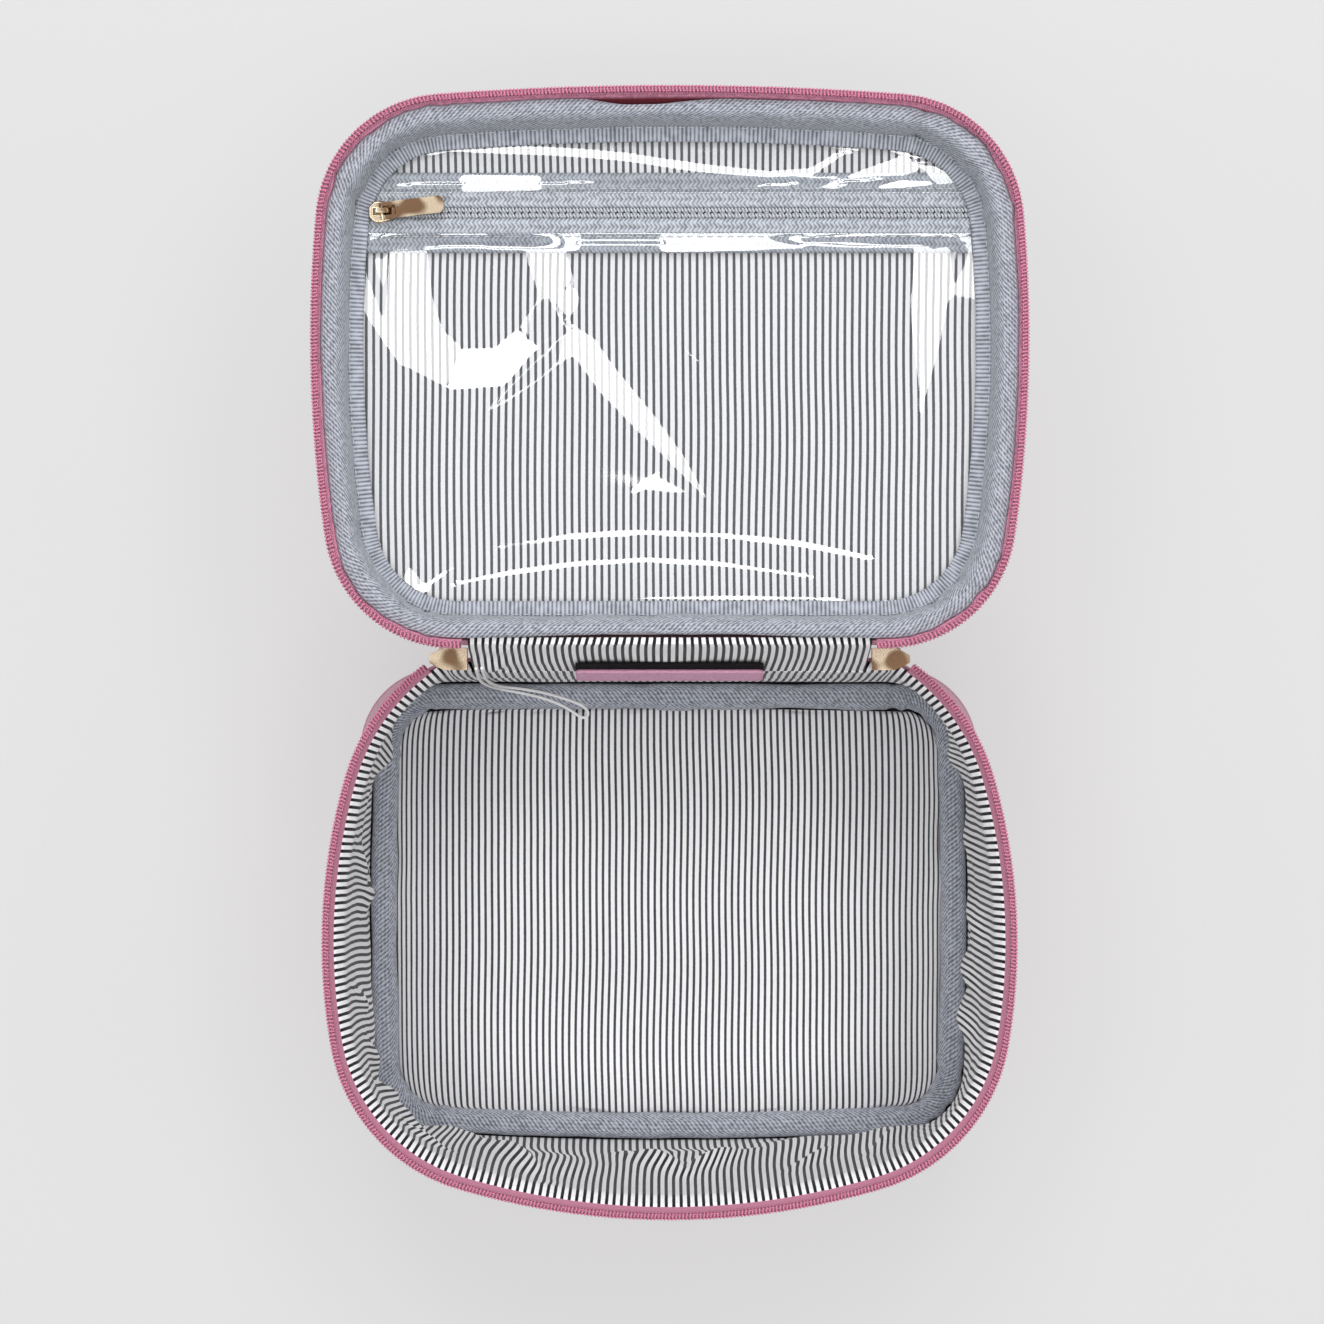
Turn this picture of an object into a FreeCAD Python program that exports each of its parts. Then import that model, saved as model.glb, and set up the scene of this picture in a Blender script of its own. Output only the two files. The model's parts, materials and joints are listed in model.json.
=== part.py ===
import FreeCAD, Part
import math
import os
import re
import Sketcher
from FreeCAD import Vector

# Soft train case standing open: +Z up, +Y towards the hinge, origin under the middle of the base.
# The lid lies open behind the body with its zip edge up. Lengths are in millimetres.
SIZES = [
    ("rim_height", 124, "top of the body's zip above the table"),
    ("rim_half_width", 115, "half width of the body's zip line"),
    ("rim_depth", 187.6, "depth of the body's zip line from hinge to front"),
    ("rim_back", "rim_depth / 2 + 0.2", "hinge side of the body's zip line"),
    ("rim_widest", "rim_depth / 2 + 2.2", "distance of the widest place from the hinge side"),
    ("rim_side_bow", 200, "radius of the bowed sides at the rim"),
    ("rim_front_bow", 245, "radius of the bowed front at the rim"),
    ("rim_front_corner", 60, "radius of the front corners at the rim"),
    ("rim_back_corner", 70, "radius of the back corners at the rim"),
    ("rim_back_centre", 60.5, "distance of the back corners' centres from the hinge side"),
    ("base_half_width", "rim_half_width + 2.5", "half width of the base"),
    ("base_depth", "rim_depth - 4.6", "depth of the base"),
    ("base_back", "rim_back - 4", "back of the base"),
    ("base_widest", "base_depth / 2", "distance of the widest place of the base from its back"),
    ("base_side_bow", 1500, "radius of the sides of the base"),
    ("base_front_bow", 1500, "radius of the front of the base"),
    ("base_front_corner", 32, "radius of the front corners of the base"),
    ("base_back_corner", 32, "radius of the back corners of the base"),
    ("lid_half_width", "rim_half_width + 0.2", "half width of the lid's zip line"),
    ("lid_depth", "rim_depth - 7", "depth of the lid's zip line from hinge to far edge"),
    ("lid_back", "rim_back + 0.8", "hinge side of the open lid"),
    ("lid_widest", "lid_depth / 2 + 9.7", "distance of the lid's widest place from the hinge side"),
    ("lid_side_bow", 450, "radius of the lid's sides"),
    ("lid_front_bow", 1000, "radius of the lid's far edge"),
    ("lid_front_corner", 42, "radius of the lid's far corners"),
    ("lid_back_corner", 42, "radius of the lid's corners at the hinge"),
    ("lid_lift", 2.4, "clearance of the open lid over the body's zip"),
    ("lid_height", 26, "lid from its outer face to its zip"),
    ("leather", 1.2, "thickness of the outer leather"),
    ("foam", 2.9, "thickness of the wall foam"),
    ("lining", 0.6, "thickness of the striped lining"),
    ("layer_gap", 0.1, "space left between sewn layers"),
    ("board", 2.4, "thickness of the stiffening boards"),
    ("padding", 2.6, "thickness of the pads over the boards"),
    ("wall_inset", 2, "how far the zip stands out past the wall"),
    ("coil_width", 2.9, "diameter of the main zip's coil"),
    ("tape", 0.8, "thickness of the zip tapes"),
    ("tape_rise", 8, "height of the sloped tape at a rim"),
    ("wall_foot", 6, "straight foot of the walls above the base"),
    ("wall_drop", 5.5, "top of the leather wall below the top of the tape"),
    ("piping", 3.6, "diameter of the leather piping"),
    ("piping_inset", 3.2, "middle of the piping inside the outline"),
    ("piping_lift", 0.4, "lowest side of the piping above the outer panel"),
    ("soft_gap", 0.3, "clearance round loose soft pieces"),
    ("floor_band", 9.6, "width of the binding round the floor"),
    ("floor_band_rise", 2.8, "height of the binding round the floor"),
    ("lid_band", 8.5, "width of the binding round the lid's panel"),
    ("lid_band_middle", 6, "width of the lid's binding at half its height"),
    ("lid_band_shoulder", 4.8, "width of the lid's binding at the lower edge of the zip tape"),
    ("lid_band_rise", 5.2, "how far the lid's binding laps the zip tape"),
    ("lid_band_top", 2.8, "width of the lid's binding at its top"),
    ("lining_lap", 5.6, "how far the wall's lining laps the zip tape"),
    ("zip_gap", "rim_half_width - 35.5", "half width of the stretch at the hinge without a zip"),
    ("hinge_cut", 20, "reach of that stretch to either side of the hinge line"),
    ("hinge_leather", 0.9, "thickness of the hinge's outer leather"),
    ("hinge_lap", 6, "how far the hinge's leather laps the lid's wall"),
    ("hinge_bulge", 0.3, "inward bulge of the hinge's lining"),
    ("slider_length", 12.5, "length of a main zip slider"),
    ("hinge_half", "zip_gap - slider_length - 2", "half width of the fabric hinge"),
    ("lid_zip_gap", "hinge_half + 1", "half width of the lid's stretch without a zip"),
    ("slider_width", 7.4, "width of a main zip slider"),
    ("slider_thick", 5, "thickness of a main zip slider"),
    ("slider_plate", 1.3, "thickness of a main slider's plates"),
    ("slider_neck", 3, "width of the post between a main slider's plates"),
    ("slider_post", 6.2, "length of the post between a main slider's plates"),
    ("slider_nose", 2.4, "width of a main slider's nose"),
    ("slider_cheek", 5.4, "width of a main slider half way along its taper"),
    ("slider_shoulder", 1, "start of a main slider's taper from its middle"),
    ("slider_set", 2.3, "middle of a main slider inside the hinge line"),
    ("ear", 1.2, "thickness of the ears that hold a pull"),
    ("pin", 1.4, "diameter of the pulls' pins"),
    ("ear_reach", 1.5, "reach of the ears past the pin"),
    ("knuckle", 4.2, "outer diameter of the pulls' knuckles"),
    ("knuckle_length", 3, "length of the pulls' knuckles"),
    ("running", 0.2, "running clearance of pulls and handle"),
    ("pull_width", 5.5, "width of the bar pulls"),
    ("pull_length", 20, "length of the bar pulls past their pins"),
    ("pull_thick", 1.6, "thickness of the bar pulls"),
    ("pull_yaw", 7, "angle of the pocket pull to its zip"),
    ("pull_bevel", 1.2, "cut corners of the bar pulls"),
    ("pull_play", 0.5, "side play of the pulls between their ears"),
    ("bridge_play", 0.3, "play of the pocket pull's cross bar under the bridge"),
    ("pocket_zip", "lid_depth - 38.6", "middle of the pocket's zip from the hinge side of the lid"),
    ("pocket_rise", 1.2, "pocket tapes above the lid's lining"),
    ("pocket_tape", 11.3, "width of each half of the pocket's zip tape"),
    ("pocket_show", 6.2, "half width of the tape that shows between the clear sheets"),
    ("pocket_coil", 3.2, "width of the pocket zip's coil"),
    ("pocket_coil_rise", 1.8, "height of the pocket zip's coil"),
    ("clear_sheet", 0.5, "thickness of the clear sheets"),
    ("pocket_slider_length", 9, "length of the pocket's slider"),
    ("pocket_slider_width", 7, "width of the pocket's slider"),
    ("pocket_plate", 1.2, "thickness of the pocket slider's plate"),
    ("slider_round", 1.8, "cut corners of the pocket's slider"),
    ("bridge_width", 1.8, "width of the bridge that holds the pocket's pull"),
    ("bridge_half", 2.7, "half length of that bridge"),
    ("bridge_thick", 1.2, "thickness of that bridge"),
    ("window_half", 1.5, "half width of the window in the pocket's pull"),
    ("window_length", 4.4, "length of the window in the pocket's pull"),
    ("pocket_margin", 22, "middle of the closed pocket slider from the lid's widest place"),
    ("label_half", 31, "half width of the leather label"),
    ("label_height", 9.5, "height of the leather label"),
    ("label_lift", 8, "lower edge of the dark backing to the label's upper edge"),
    ("label_hang", 2.7, "how far the label's lower edge stands off the wall"),
    ("backing_lift", 1, "lower edge of the label's dark backing above the hinge lining's"),
    ("backing_height", 14, "height of the label's dark backing"),
    ("backing_gap", 0.4, "space between the hinge lining and the label's backing"),
    ("handle_half", "rim_half_width / 2 + 0.5", "half distance between the handle's pivots"),
    ("handle_place", "lid_depth / 2 - 0.3", "middle of the handle from the hinge side of the lid"),
    ("handle_drop", 9, "pivot of the handle below the lid's outer face"),
    ("handle_rise", 40, "height of the handle's grip above its pivots"),
    ("grip_width", 11, "diameter of the handle's rolled grip"),
    ("grip_bend", 22, "radius of the handle's bends"),
    ("handle_pin", 3, "diameter of the handle's pins"),
    ("handle_ear", 2.4, "thickness of the handle brackets' ears"),
    ("handle_eye", 9, "diameter of the handle's eyes and the brackets' ears"),
    ("handle_eye_thick", 4, "thickness of the handle's eyes"),
    ("handle_neck", 6, "width of the neck under the handle's eyes"),
    ("handle_cap", 13, "diameter of the caps on the handle's ends"),
    ("handle_cap_rise", 9, "height of the caps on the handle's ends"),
    ("bracket_length", 24, "length of a handle bracket"),
    ("bracket_width", 16, "width of a handle bracket"),
    ("bracket_plate", 1.6, "thickness of a handle bracket's plate"),
    ("cord", 1.1, "diameter of the white loop's cord"),
]

# Free route of the white loop, from the hinge's left end down the back wall, over the binding and back.
LOOP_ROUTE = [
    (-63.6, 88.6, 126.0), (-63.9, 85.7, 112.0), (-64.3, 84.0, 90.0), (-64.7, 82.9, 62.0), (-64.5, 81.9, 36.0),
    (-63.4, 81.2, 20.0), (-59.8, 80.2, 12.2), (-53.2, 79.0, 10.5), (-45.0, 77.0, 10.6), (-38.4, 74.2, 10.5),
    (-34.2, 71.4, 9.7), (-31.9, 69.9, 8.9), (-29.9, 70.6, 8.9), (-29.9, 72.7, 9.4), (-32.3, 74.9, 10.2),
    (-37.6, 76.9, 10.7), (-45.2, 79.2, 10.5), (-53.6, 80.7, 10.6), (-59.6, 81.4, 14.6), (-61.8, 81.9, 24.0),
    (-62.4, 82.5, 40.0), (-62.7, 83.4, 64.0), (-62.3, 84.4, 90.0), (-61.8, 85.9, 112.0), (-61.7, 88.7, 126.0),
]

doc = FreeCAD.newDocument("train_case")
sizes = doc.addObject("Spreadsheet::Sheet", "sizes")
for row, (alias, value, note) in enumerate(SIZES, 1):
    sizes.set(f"A{row}", note)
    sizes.set(f"B{row}", f"={value}")
    sizes.setAlias(f"B{row}", alias)
doc.recompute()
ALIASES = {alias for alias, _, _ in SIZES}
pieces = []


def bound(text):
    """Expression on the sheet for a text that names its sizes by their aliases."""
    return re.sub(r"[a-z_]+", lambda word: "sizes." + word[0] if word[0] in ALIASES else word[0], str(text))


def size(text):
    """Number that such a text gives now."""
    return float(sizes.evalExpression(bound(text)))


# Heights and insets that several pieces share, as texts on the sheet's sizes.
BASE = "0"
LID = "(rim_height + lid_lift)"
LID_RIM = f"({LID} + lid_height)"
FOOT = "(piping_lift + piping + 2 * layer_gap)"
TAPE_TOP = "(rim_height - coil_width - layer_gap / 2)"
LID_TAPE_TOP = f"({LID_RIM} - coil_width - layer_gap / 2)"
FOAM_INSET = "(wall_inset + leather + layer_gap)"
LINING_INSET = "(wall_inset + leather + foam + 2 * layer_gap)"
INNER_INSET = "(wall_inset + leather + foam + lining + 2 * layer_gap)"
TAPE_INSET = f"({FOAM_INSET} + foam - layer_gap)"
PANEL_INSET = "(piping_inset + piping / 2 + 2 * layer_gap)"
PAD_INSET = f"({INNER_INSET} + soft_gap)"
FLOOR = "(leather + board + padding)"
LID_FLOOR = f"({LID} + leather + board + padding)"
FACING = {"rim": -1, "base": -1, "lid": 1}


def new_body(label):
    body = doc.addObject("PartDesign::Body", label)
    body.Label = label
    pieces.append(body)
    return body


def new_sketch(body, name, plane, offset="0"):
    """Sketch on one of the body's own origin planes, moved along the plane's normal."""
    sketch = body.newObject("Sketcher::SketchObject", name)
    support = [item for item in body.Origin.OriginFeatures if item.Role == plane][0]
    sketch.AttachmentSupport = [(support, "")]
    sketch.MapMode = "FlatFace"
    sketch.setExpression("AttachmentOffset.Base.z", bound(offset))
    return sketch


def hold(sketch, kind, places, text):
    """Dimension whose value follows the sheet."""
    index = sketch.addConstraint(Sketcher.Constraint(kind, *places, size(text)))
    sketch.setExpression(f"Constraints[{index}]", bound(text))


def polygon(body, name, plane, corners, offset="0"):
    """Closed sketch of straight edges; each corner is dimensioned from the origin."""
    sketch = new_sketch(body, name, plane, offset)
    points = [Vector(size(across), size(along), 0) for across, along in corners]
    count = len(points)
    for index in range(count):
        sketch.addGeometry(Part.LineSegment(points[index], points[(index + 1) % count]))
    for index in range(count):
        sketch.addConstraint(Sketcher.Constraint("Coincident", index, 2, (index + 1) % count, 1))
    for index, (across, along) in enumerate(corners):
        hold(sketch, "DistanceX", (-1, 1, index, 1), across)
        hold(sketch, "DistanceY", (-1, 1, index, 1), along)
    return sketch


def box_corners(left, right, low, high):
    return [(left, low), (right, low), (right, high), (left, high)]


def circle(body, name, plane, across, along, diameter, offset="0"):
    sketch = new_sketch(body, name, plane, offset)
    centre = Vector(size(across), size(along), 0)
    sketch.addGeometry(Part.Circle(centre, Vector(0, 0, 1), size(diameter) / 2))
    hold(sketch, "DistanceX", (-1, 1, 0, 3), across)
    hold(sketch, "DistanceY", (-1, 1, 0, 3), along)
    hold(sketch, "Diameter", (0,), diameter)
    return sketch


def outline(body, name, form, inset, height):
    """Closed outline: straight back, bowed sides and front, four round corners, all moved in by inset.

    The drawing runs in a frame that starts at the back's middle, across and then towards the front."""
    facing = FACING[form]
    kinked = f"{form}_back_centre" in ALIASES
    turn = 0 if facing > 0 else math.pi
    back = size(f"{form}_back")
    half = size(f"{form}_half_width")
    depth = size(f"{form}_depth")
    widest = size(f"{form}_widest")
    side_bow = size(f"{form}_side_bow")
    front_bow = size(f"{form}_front_bow")
    front_corner = size(f"{form}_front_corner")
    back_corner = size(f"{form}_back_corner")
    back_depth = size(f"{form}_back_centre") if kinked else back_corner
    step = size(inset)
    side = Vector(half - side_bow, widest, 0)
    front = Vector(0, depth - front_bow, 0)
    reach = math.sqrt((side_bow - back_corner) ** 2 - (back_depth - widest) ** 2)
    rear = Vector(side.x + reach, back_depth, 0)
    apart = front - side
    from_side = side_bow - front_corner
    from_front = front_bow - front_corner
    along = (from_side ** 2 - from_front ** 2 + apart.Length ** 2) / (2 * apart.Length)
    across = math.sqrt(from_side ** 2 - along ** 2)
    near = Vector(apart.x, apart.y, 0).normalize()
    corner = side + near * along + Vector(-near.y, near.x, 0) * across
    end = rear.x + math.sqrt(max((back_corner - step) ** 2 - (back_depth - step) ** 2, 0))

    def mirror(point):
        return Vector(-point.x, point.y, 0)

    def heading(centre, point):
        return math.atan2(point.y - centre.y, point.x - centre.x)

    rear_to_side = heading(side, rear)
    side_to_corner = heading(side, corner)
    corner_to_front = heading(front, corner)
    rear_start = heading(rear, Vector(end, step, 0))
    runs = [
        (rear, back_corner, rear_start, rear_to_side),
        (side, side_bow, rear_to_side, side_to_corner),
        (corner, front_corner, side_to_corner, corner_to_front),
        (front, front_bow, corner_to_front, math.pi - corner_to_front),
        (mirror(corner), front_corner, math.pi - corner_to_front, math.pi - side_to_corner),
        (mirror(side), side_bow, math.pi - side_to_corner, math.pi - rear_to_side),
        (mirror(rear), back_corner, math.pi - rear_to_side, math.pi - rear_start),
    ]

    def world(point):
        return Vector(facing * point.x, back + facing * point.y, 0)

    sketch = new_sketch(body, name, "XY_Plane", height)
    sketch.addGeometry(Part.LineSegment(world(Vector(0, step, 0)), world(Vector(end, step, 0))))
    for centre, radius, first, last in runs:
        whole = Part.Circle(world(centre), Vector(0, 0, 1), radius - step)
        sketch.addGeometry(Part.ArcOfCircle(whole, first + turn, last + turn))
    sketch.addGeometry(Part.LineSegment(world(Vector(-end, step, 0)), world(Vector(0, step, 0))))

    join = Sketcher.Constraint
    back_joint = "Coincident" if kinked else "Tangent"
    rules = [join(back_joint, 0, 2, 1, 1), join(back_joint, 7, 2, 8, 1), join("Coincident", 8, 2, 0, 1)]
    rules += [join("Tangent", index, 2, index + 1, 1) for index in range(1, 7)]
    rules += [join("Horizontal", 0), join("Horizontal", 8), join("PointOnObject", 0, 1, -2)]
    rules += [join("Equal", 1, 7), join("Equal", 2, 6), join("Equal", 3, 5)]
    rules += [join("PointOnObject", 4, 3, -2), join("Symmetric", 2, 3, 6, 3, -2)]
    sketch.addConstraint(rules)
    sign = "" if facing > 0 else "-"
    hold(sketch, "DistanceY", (-1, 1, 0, 1), f"{form}_back {sign or '+'} {inset}")
    hold(sketch, "Radius", (1,), f"{form}_back_corner - {inset}")
    hold(sketch, "Radius", (2,), f"{form}_side_bow - {inset}")
    hold(sketch, "Radius", (3,), f"{form}_front_corner - {inset}")
    hold(sketch, "Radius", (4,), f"{form}_front_bow - {inset}")
    hold(sketch, "DistanceY", (-1, 1, 4, 3), f"{form}_back {sign or '+'} ({form}_depth - {form}_front_bow)")
    hold(sketch, "DistanceX", (-1, 1, 2, 3), f"{sign}({form}_half_width - {form}_side_bow)")
    hold(sketch, "DistanceY", (-1, 1, 2, 3), f"{form}_back {sign or '+'} {form}_widest")
    if kinked:
        hold(sketch, "DistanceY", (-1, 1, 1, 3), f"{form}_back {sign or '+'} {form}_back_centre")
        sketch.addConstraint(join("Horizontal", 1, 3, 7, 3))
    return sketch


def pad(body, sketch, length, both=False):
    item = body.newObject("PartDesign::Pad", sketch.Name + "_pad")
    item.Profile = sketch
    if both:
        item.SideType = "Symmetric"
    item.setExpression("Length", bound(length))
    return item


def pocket(body, sketch, length, both=False):
    """Cut along the sketch's normal, or to both sides of it."""
    item = body.newObject("PartDesign::Pocket", sketch.Name + "_pocket")
    item.Profile = sketch
    if both:
        item.SideType = "Symmetric"
    else:
        item.Reversed = True
    item.setExpression("Length", bound(length))
    return item


def loft(body, kind, name, sections):
    sketches = [outline(body, f"{name}_{index}", *section) for index, section in enumerate(sections)]
    item = body.newObject("PartDesign::" + kind, name)
    item.Profile = sketches[0]
    item.Sections = sketches[1:]
    item.Ruled = True
    return item


def plate(label, form, inset, height, thick):
    """Flat panel that fills an outline."""
    body = new_body(label)
    pad(body, outline(body, label + "_outline", form, inset, height), thick)
    return body


def shell(label, outer, inner):
    """Wall between two stacks of outlines."""
    body = new_body(label)
    loft(body, "AdditiveLoft", label + "_outside", outer)
    loft(body, "SubtractiveLoft", label + "_inside", inner)
    return body


def tube(label, form, inset, height, diameter):
    """Round bead that follows an outline."""
    body = new_body(label)
    path = outline(body, label + "_path", form, inset, height)
    sign = "+" if FACING[form] > 0 else "-"
    item = body.newObject("PartDesign::AdditivePipe", label + "_sweep")
    start = f"{form}_back {sign} {inset}"
    item.Profile = circle(body, label + "_section", "YZ_Plane", start, height, diameter)
    item.Spine = (path, [])
    return body


def open_at_hinge(body, form, half, low=BASE):
    """Cuts a piece away above low along the fabric hinge."""
    corners = box_corners(f"-{half}", half, f"{form}_back - hinge_cut", f"{form}_back + hinge_cut")
    sketch = polygon(body, body.Label + "_gap", "XY_Plane", corners, low)
    pocket(body, sketch, f"{LID_RIM} * 2")


def beside_tape(rise):
    """Inset of a layer that laps the sloped tape, at a rise above the layer below the tape."""
    return f"({LINING_INSET} + layer_gap - {rise} * ({TAPE_INSET} - coil_width / 2 - tape / 2) / tape_rise)"


def make_base():
    plate("base_panel", "base", PANEL_INSET, BASE, "leather")
    tube("base_piping", "base", "piping_inset", "piping_lift + piping / 2", "piping")
    plate("base_board", "base", PANEL_INSET, "leather", "board")
    plate("floor_pad", "base", PAD_INSET, "leather + board", "padding")
    plate("floor_lining", "base", f"({PAD_INSET} + floor_band + layer_gap)", FLOOR, "lining")
    roll = "floor_band_rise / 2"
    top = f"{FLOOR} + floor_band_rise"
    outer = [("base", PAD_INSET, FLOOR), ("base", f"({PAD_INSET} + {roll})", top)]
    inner_edge = f"{PAD_INSET} + floor_band"
    inner = [("base", f"({inner_edge})", FLOOR), ("base", f"({inner_edge} - {roll})", top)]
    shell("floor_binding", outer, inner)


WALL_TOP = "(rim_height - coil_width - tape_rise - 2 * layer_gap)"
LEATHER_TOP = f"({TAPE_TOP} - wall_drop)"


def wall_stack(inset, tops):
    """Outlines of one wall layer: upright foot, then a straight run to the rim's shape."""
    feet = [("base", inset, FOOT), ("base", inset, f"({FOOT} + wall_foot)")]
    return feet + [("rim", inset, top) for top in tops]


def make_body():
    tops = [WALL_TOP, LEATHER_TOP]
    shell("body_wall", wall_stack("wall_inset", tops), wall_stack("(wall_inset + leather)", tops))
    tops = [WALL_TOP]
    shell("body_foam", wall_stack(FOAM_INSET, tops), wall_stack(f"({FOAM_INSET} + foam)", tops))
    lap = beside_tape("lining_lap")
    top = f"({WALL_TOP} + lining_lap)"
    body = shell("body_lining", wall_stack(LINING_INSET, tops) + [("rim", lap, top)],
                 wall_stack(INNER_INSET, tops) + [("rim", f"({lap} + lining)", top)])
    open_at_hinge(body, "rim", "(hinge_half + soft_gap)", WALL_TOP)


def make_zip(label, form, top, gap):
    """Sloped tape with the coil along its upper edge."""
    low = f"({top} - coil_width - layer_gap / 2 - tape_rise)"
    high = f"({top} - coil_width - layer_gap / 2)"
    outer = [(form, f"({TAPE_INSET} - tape)", low), (form, "(coil_width / 2 - tape / 2)", high)]
    inner = [(form, TAPE_INSET, low), (form, "(coil_width / 2 + tape / 2)", high)]
    open_at_hinge(shell(label + "_tape", outer, inner), form, gap)
    coil = tube(label + "_coil", form, "(coil_width / 2)", f"({top} - coil_width / 2)", "coil_width")
    open_at_hinge(coil, form, gap)


def make_lid():
    plate("lid_panel", "lid", PANEL_INSET, LID, "leather")
    tube("lid_piping", "lid", "piping_inset", f"({LID} + piping_lift + piping / 2)", "piping")
    plate("lid_board", "lid", PANEL_INSET, f"({LID} + leather)", "board")
    plate("lid_pad", "lid", PAD_INSET, f"({LID} + leather + board)", "padding")
    plate("lid_lining", "lid", PAD_INSET, LID_FLOOR, "lining")
    foot = f"({LID} + {FOOT})"
    top = f"({LID_TAPE_TOP} - wall_drop)"
    shell("lid_wall", [("lid", "wall_inset", foot), ("lid", "wall_inset", top)],
          [("lid", "(wall_inset + leather)", foot), ("lid", "(wall_inset + leather)", top)])
    top = f"({LID_TAPE_TOP} - tape_rise - layer_gap)"
    inside = f"({FOAM_INSET} + foam)"
    shell("lid_foam", [("lid", FOAM_INSET, foot), ("lid", FOAM_INSET, top)],
          [("lid", inside, foot), ("lid", inside, top)])
    foot = f"({LID_FLOOR} + lining + layer_gap)"
    middle = f"(({foot} + {top}) / 2)"
    lap = beside_tape("lid_band_rise")
    crest = f"({top} + lid_band_rise)"
    shell("lid_binding", [("lid", LINING_INSET, foot), ("lid", LINING_INSET, top), ("lid", lap, crest)],
          [("lid", f"({LINING_INSET} + lid_band)", foot),
           ("lid", f"({LINING_INSET} + lid_band_middle)", middle),
           ("lid", f"({LINING_INSET} + lid_band_shoulder)", top),
           ("lid", f"({lap} + lid_band_top)", crest)])


HINGE_FOOT = f"(rim_back - {INNER_INSET})"
HINGE_HEAD = "(lid_back + wall_inset - soft_gap - lining)"
HINGE_LOW = f"({WALL_TOP} + soft_gap)"
HINGE_HIGH = f"({LID_TAPE_TOP} - wall_drop)"


def hinge_line(share):
    """Place on the straight line from the hinge lining's lower edge to its upper one."""
    return (f"({HINGE_FOOT} + ({HINGE_HEAD} - {HINGE_FOOT}) * {share})",
            f"({HINGE_LOW} + ({HINGE_HIGH} - {HINGE_LOW}) * {share})")


def make_hinge():
    """Fabric hinge between the body's rim and the lid's wall: leather outside, striped lining inside.

    The lining folds over the top of the lid's wall."""
    inner = [hinge_line("0")]
    middle = [hinge_line("1 / 3"), hinge_line("2 / 3")]
    inner += [(f"({across} - hinge_bulge)", height) for across, height in middle]
    outer = [(f"{across} + lining", height) for across, height in inner]
    end = "(lid_back + wall_inset + leather + soft_gap)"
    fold = f"({HINGE_HIGH} + soft_gap)"
    inner += [(HINGE_HEAD, f"{fold} + lining"), (end, f"{fold} + lining")]
    outer += [(f"{HINGE_HEAD} + lining", fold), (end, fold)]
    body = new_body("hinge_lining")
    corners = inner + outer[::-1]
    pad(body, polygon(body, "hinge_lining_section", "YZ_Plane", corners), "2 * hinge_half", both=True)
    body = new_body("hinge_leather")
    inner = [("rim_back - wall_inset - hinge_leather", f"{LEATHER_TOP} + soft_gap"),
             ("lid_back + wall_inset - soft_gap - hinge_leather", f"{LID} + {FOOT} + hinge_lap")]
    corners = inner + [(f"{across} + hinge_leather", height) for across, height in reversed(inner)]
    pad(body, polygon(body, "hinge_leather_section", "YZ_Plane", corners), "2 * hinge_half", both=True)


def hinge_face(height, gap):
    """Place at a height in front of the hinge's lining, with room for its bulge."""
    slope = f"({HINGE_HEAD} - {HINGE_FOOT}) / ({HINGE_HIGH} - {HINGE_LOW})"
    return f"({HINGE_FOOT} + ({height} - {HINGE_LOW}) * {slope} - hinge_bulge - {gap})"


def make_label():
    """Bare leather label that hangs from a dark backing on the hinge's lining."""
    low = f"({HINGE_LOW} + backing_lift)"
    top = f"({low} + backing_height)"
    body = new_body("label_backing")
    front = "(backing_gap + lining)"
    corners = [(hinge_face(low, "backing_gap"), low), (hinge_face(top, "backing_gap"), top),
               (hinge_face(top, front), top), (hinge_face(low, front), low)]
    pad(body, polygon(body, "label_backing_section", "YZ_Plane", corners), "2 * label_half", both=True)
    top = f"({low} + label_lift)"
    low = f"({top} - label_height)"
    body = new_body("lining_label")
    back = hinge_face(top, "(backing_gap + lining + layer_gap)")
    corners = [(back, top), (f"{back} - leather", top), (f"{back} - leather - label_hang", low),
               (f"{back} - label_hang", low)]
    pad(body, polygon(body, "lining_label_section", "YZ_Plane", corners), "2 * label_half", both=True)


def make_pull(label, across, pin_y, pin_z):
    """Bar pull with a knuckle round its pin, drawn hanging down."""
    body = new_body(label)
    knuckle = circle(body, label + "_knuckle", "YZ_Plane", pin_y, pin_z, "knuckle", across)
    pad(body, knuckle, "knuckle_length", both=True)
    neck = "knuckle_length / 2"
    half = "pull_width / 2"
    wide = f"{pin_z} - knuckle"
    low = f"{pin_z} - pull_length"
    right = [(f"{across} + {neck}", pin_z), (f"{across} + {neck}", wide), (f"{across} + {half}", wide),
             (f"{across} + {half}", f"{low} + pull_bevel"), (f"{across} + {half} - pull_bevel", low)]
    left = [(f"{across} - {neck}", pin_z), (f"{across} - {neck}", wide), (f"{across} - {half}", wide),
            (f"{across} - {half}", f"{low} + pull_bevel"), (f"{across} - {half} + pull_bevel", low)]
    bar = polygon(body, label + "_bar", "XZ_Plane", right + left[::-1], f"-({pin_y})")
    pad(body, bar, "pull_thick", both=True)
    bore = circle(body, label + "_bore", "YZ_Plane", pin_y, pin_z, "pin + 2 * running", across)
    pocket(body, bore, "2 * knuckle_length", both=True)


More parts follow.
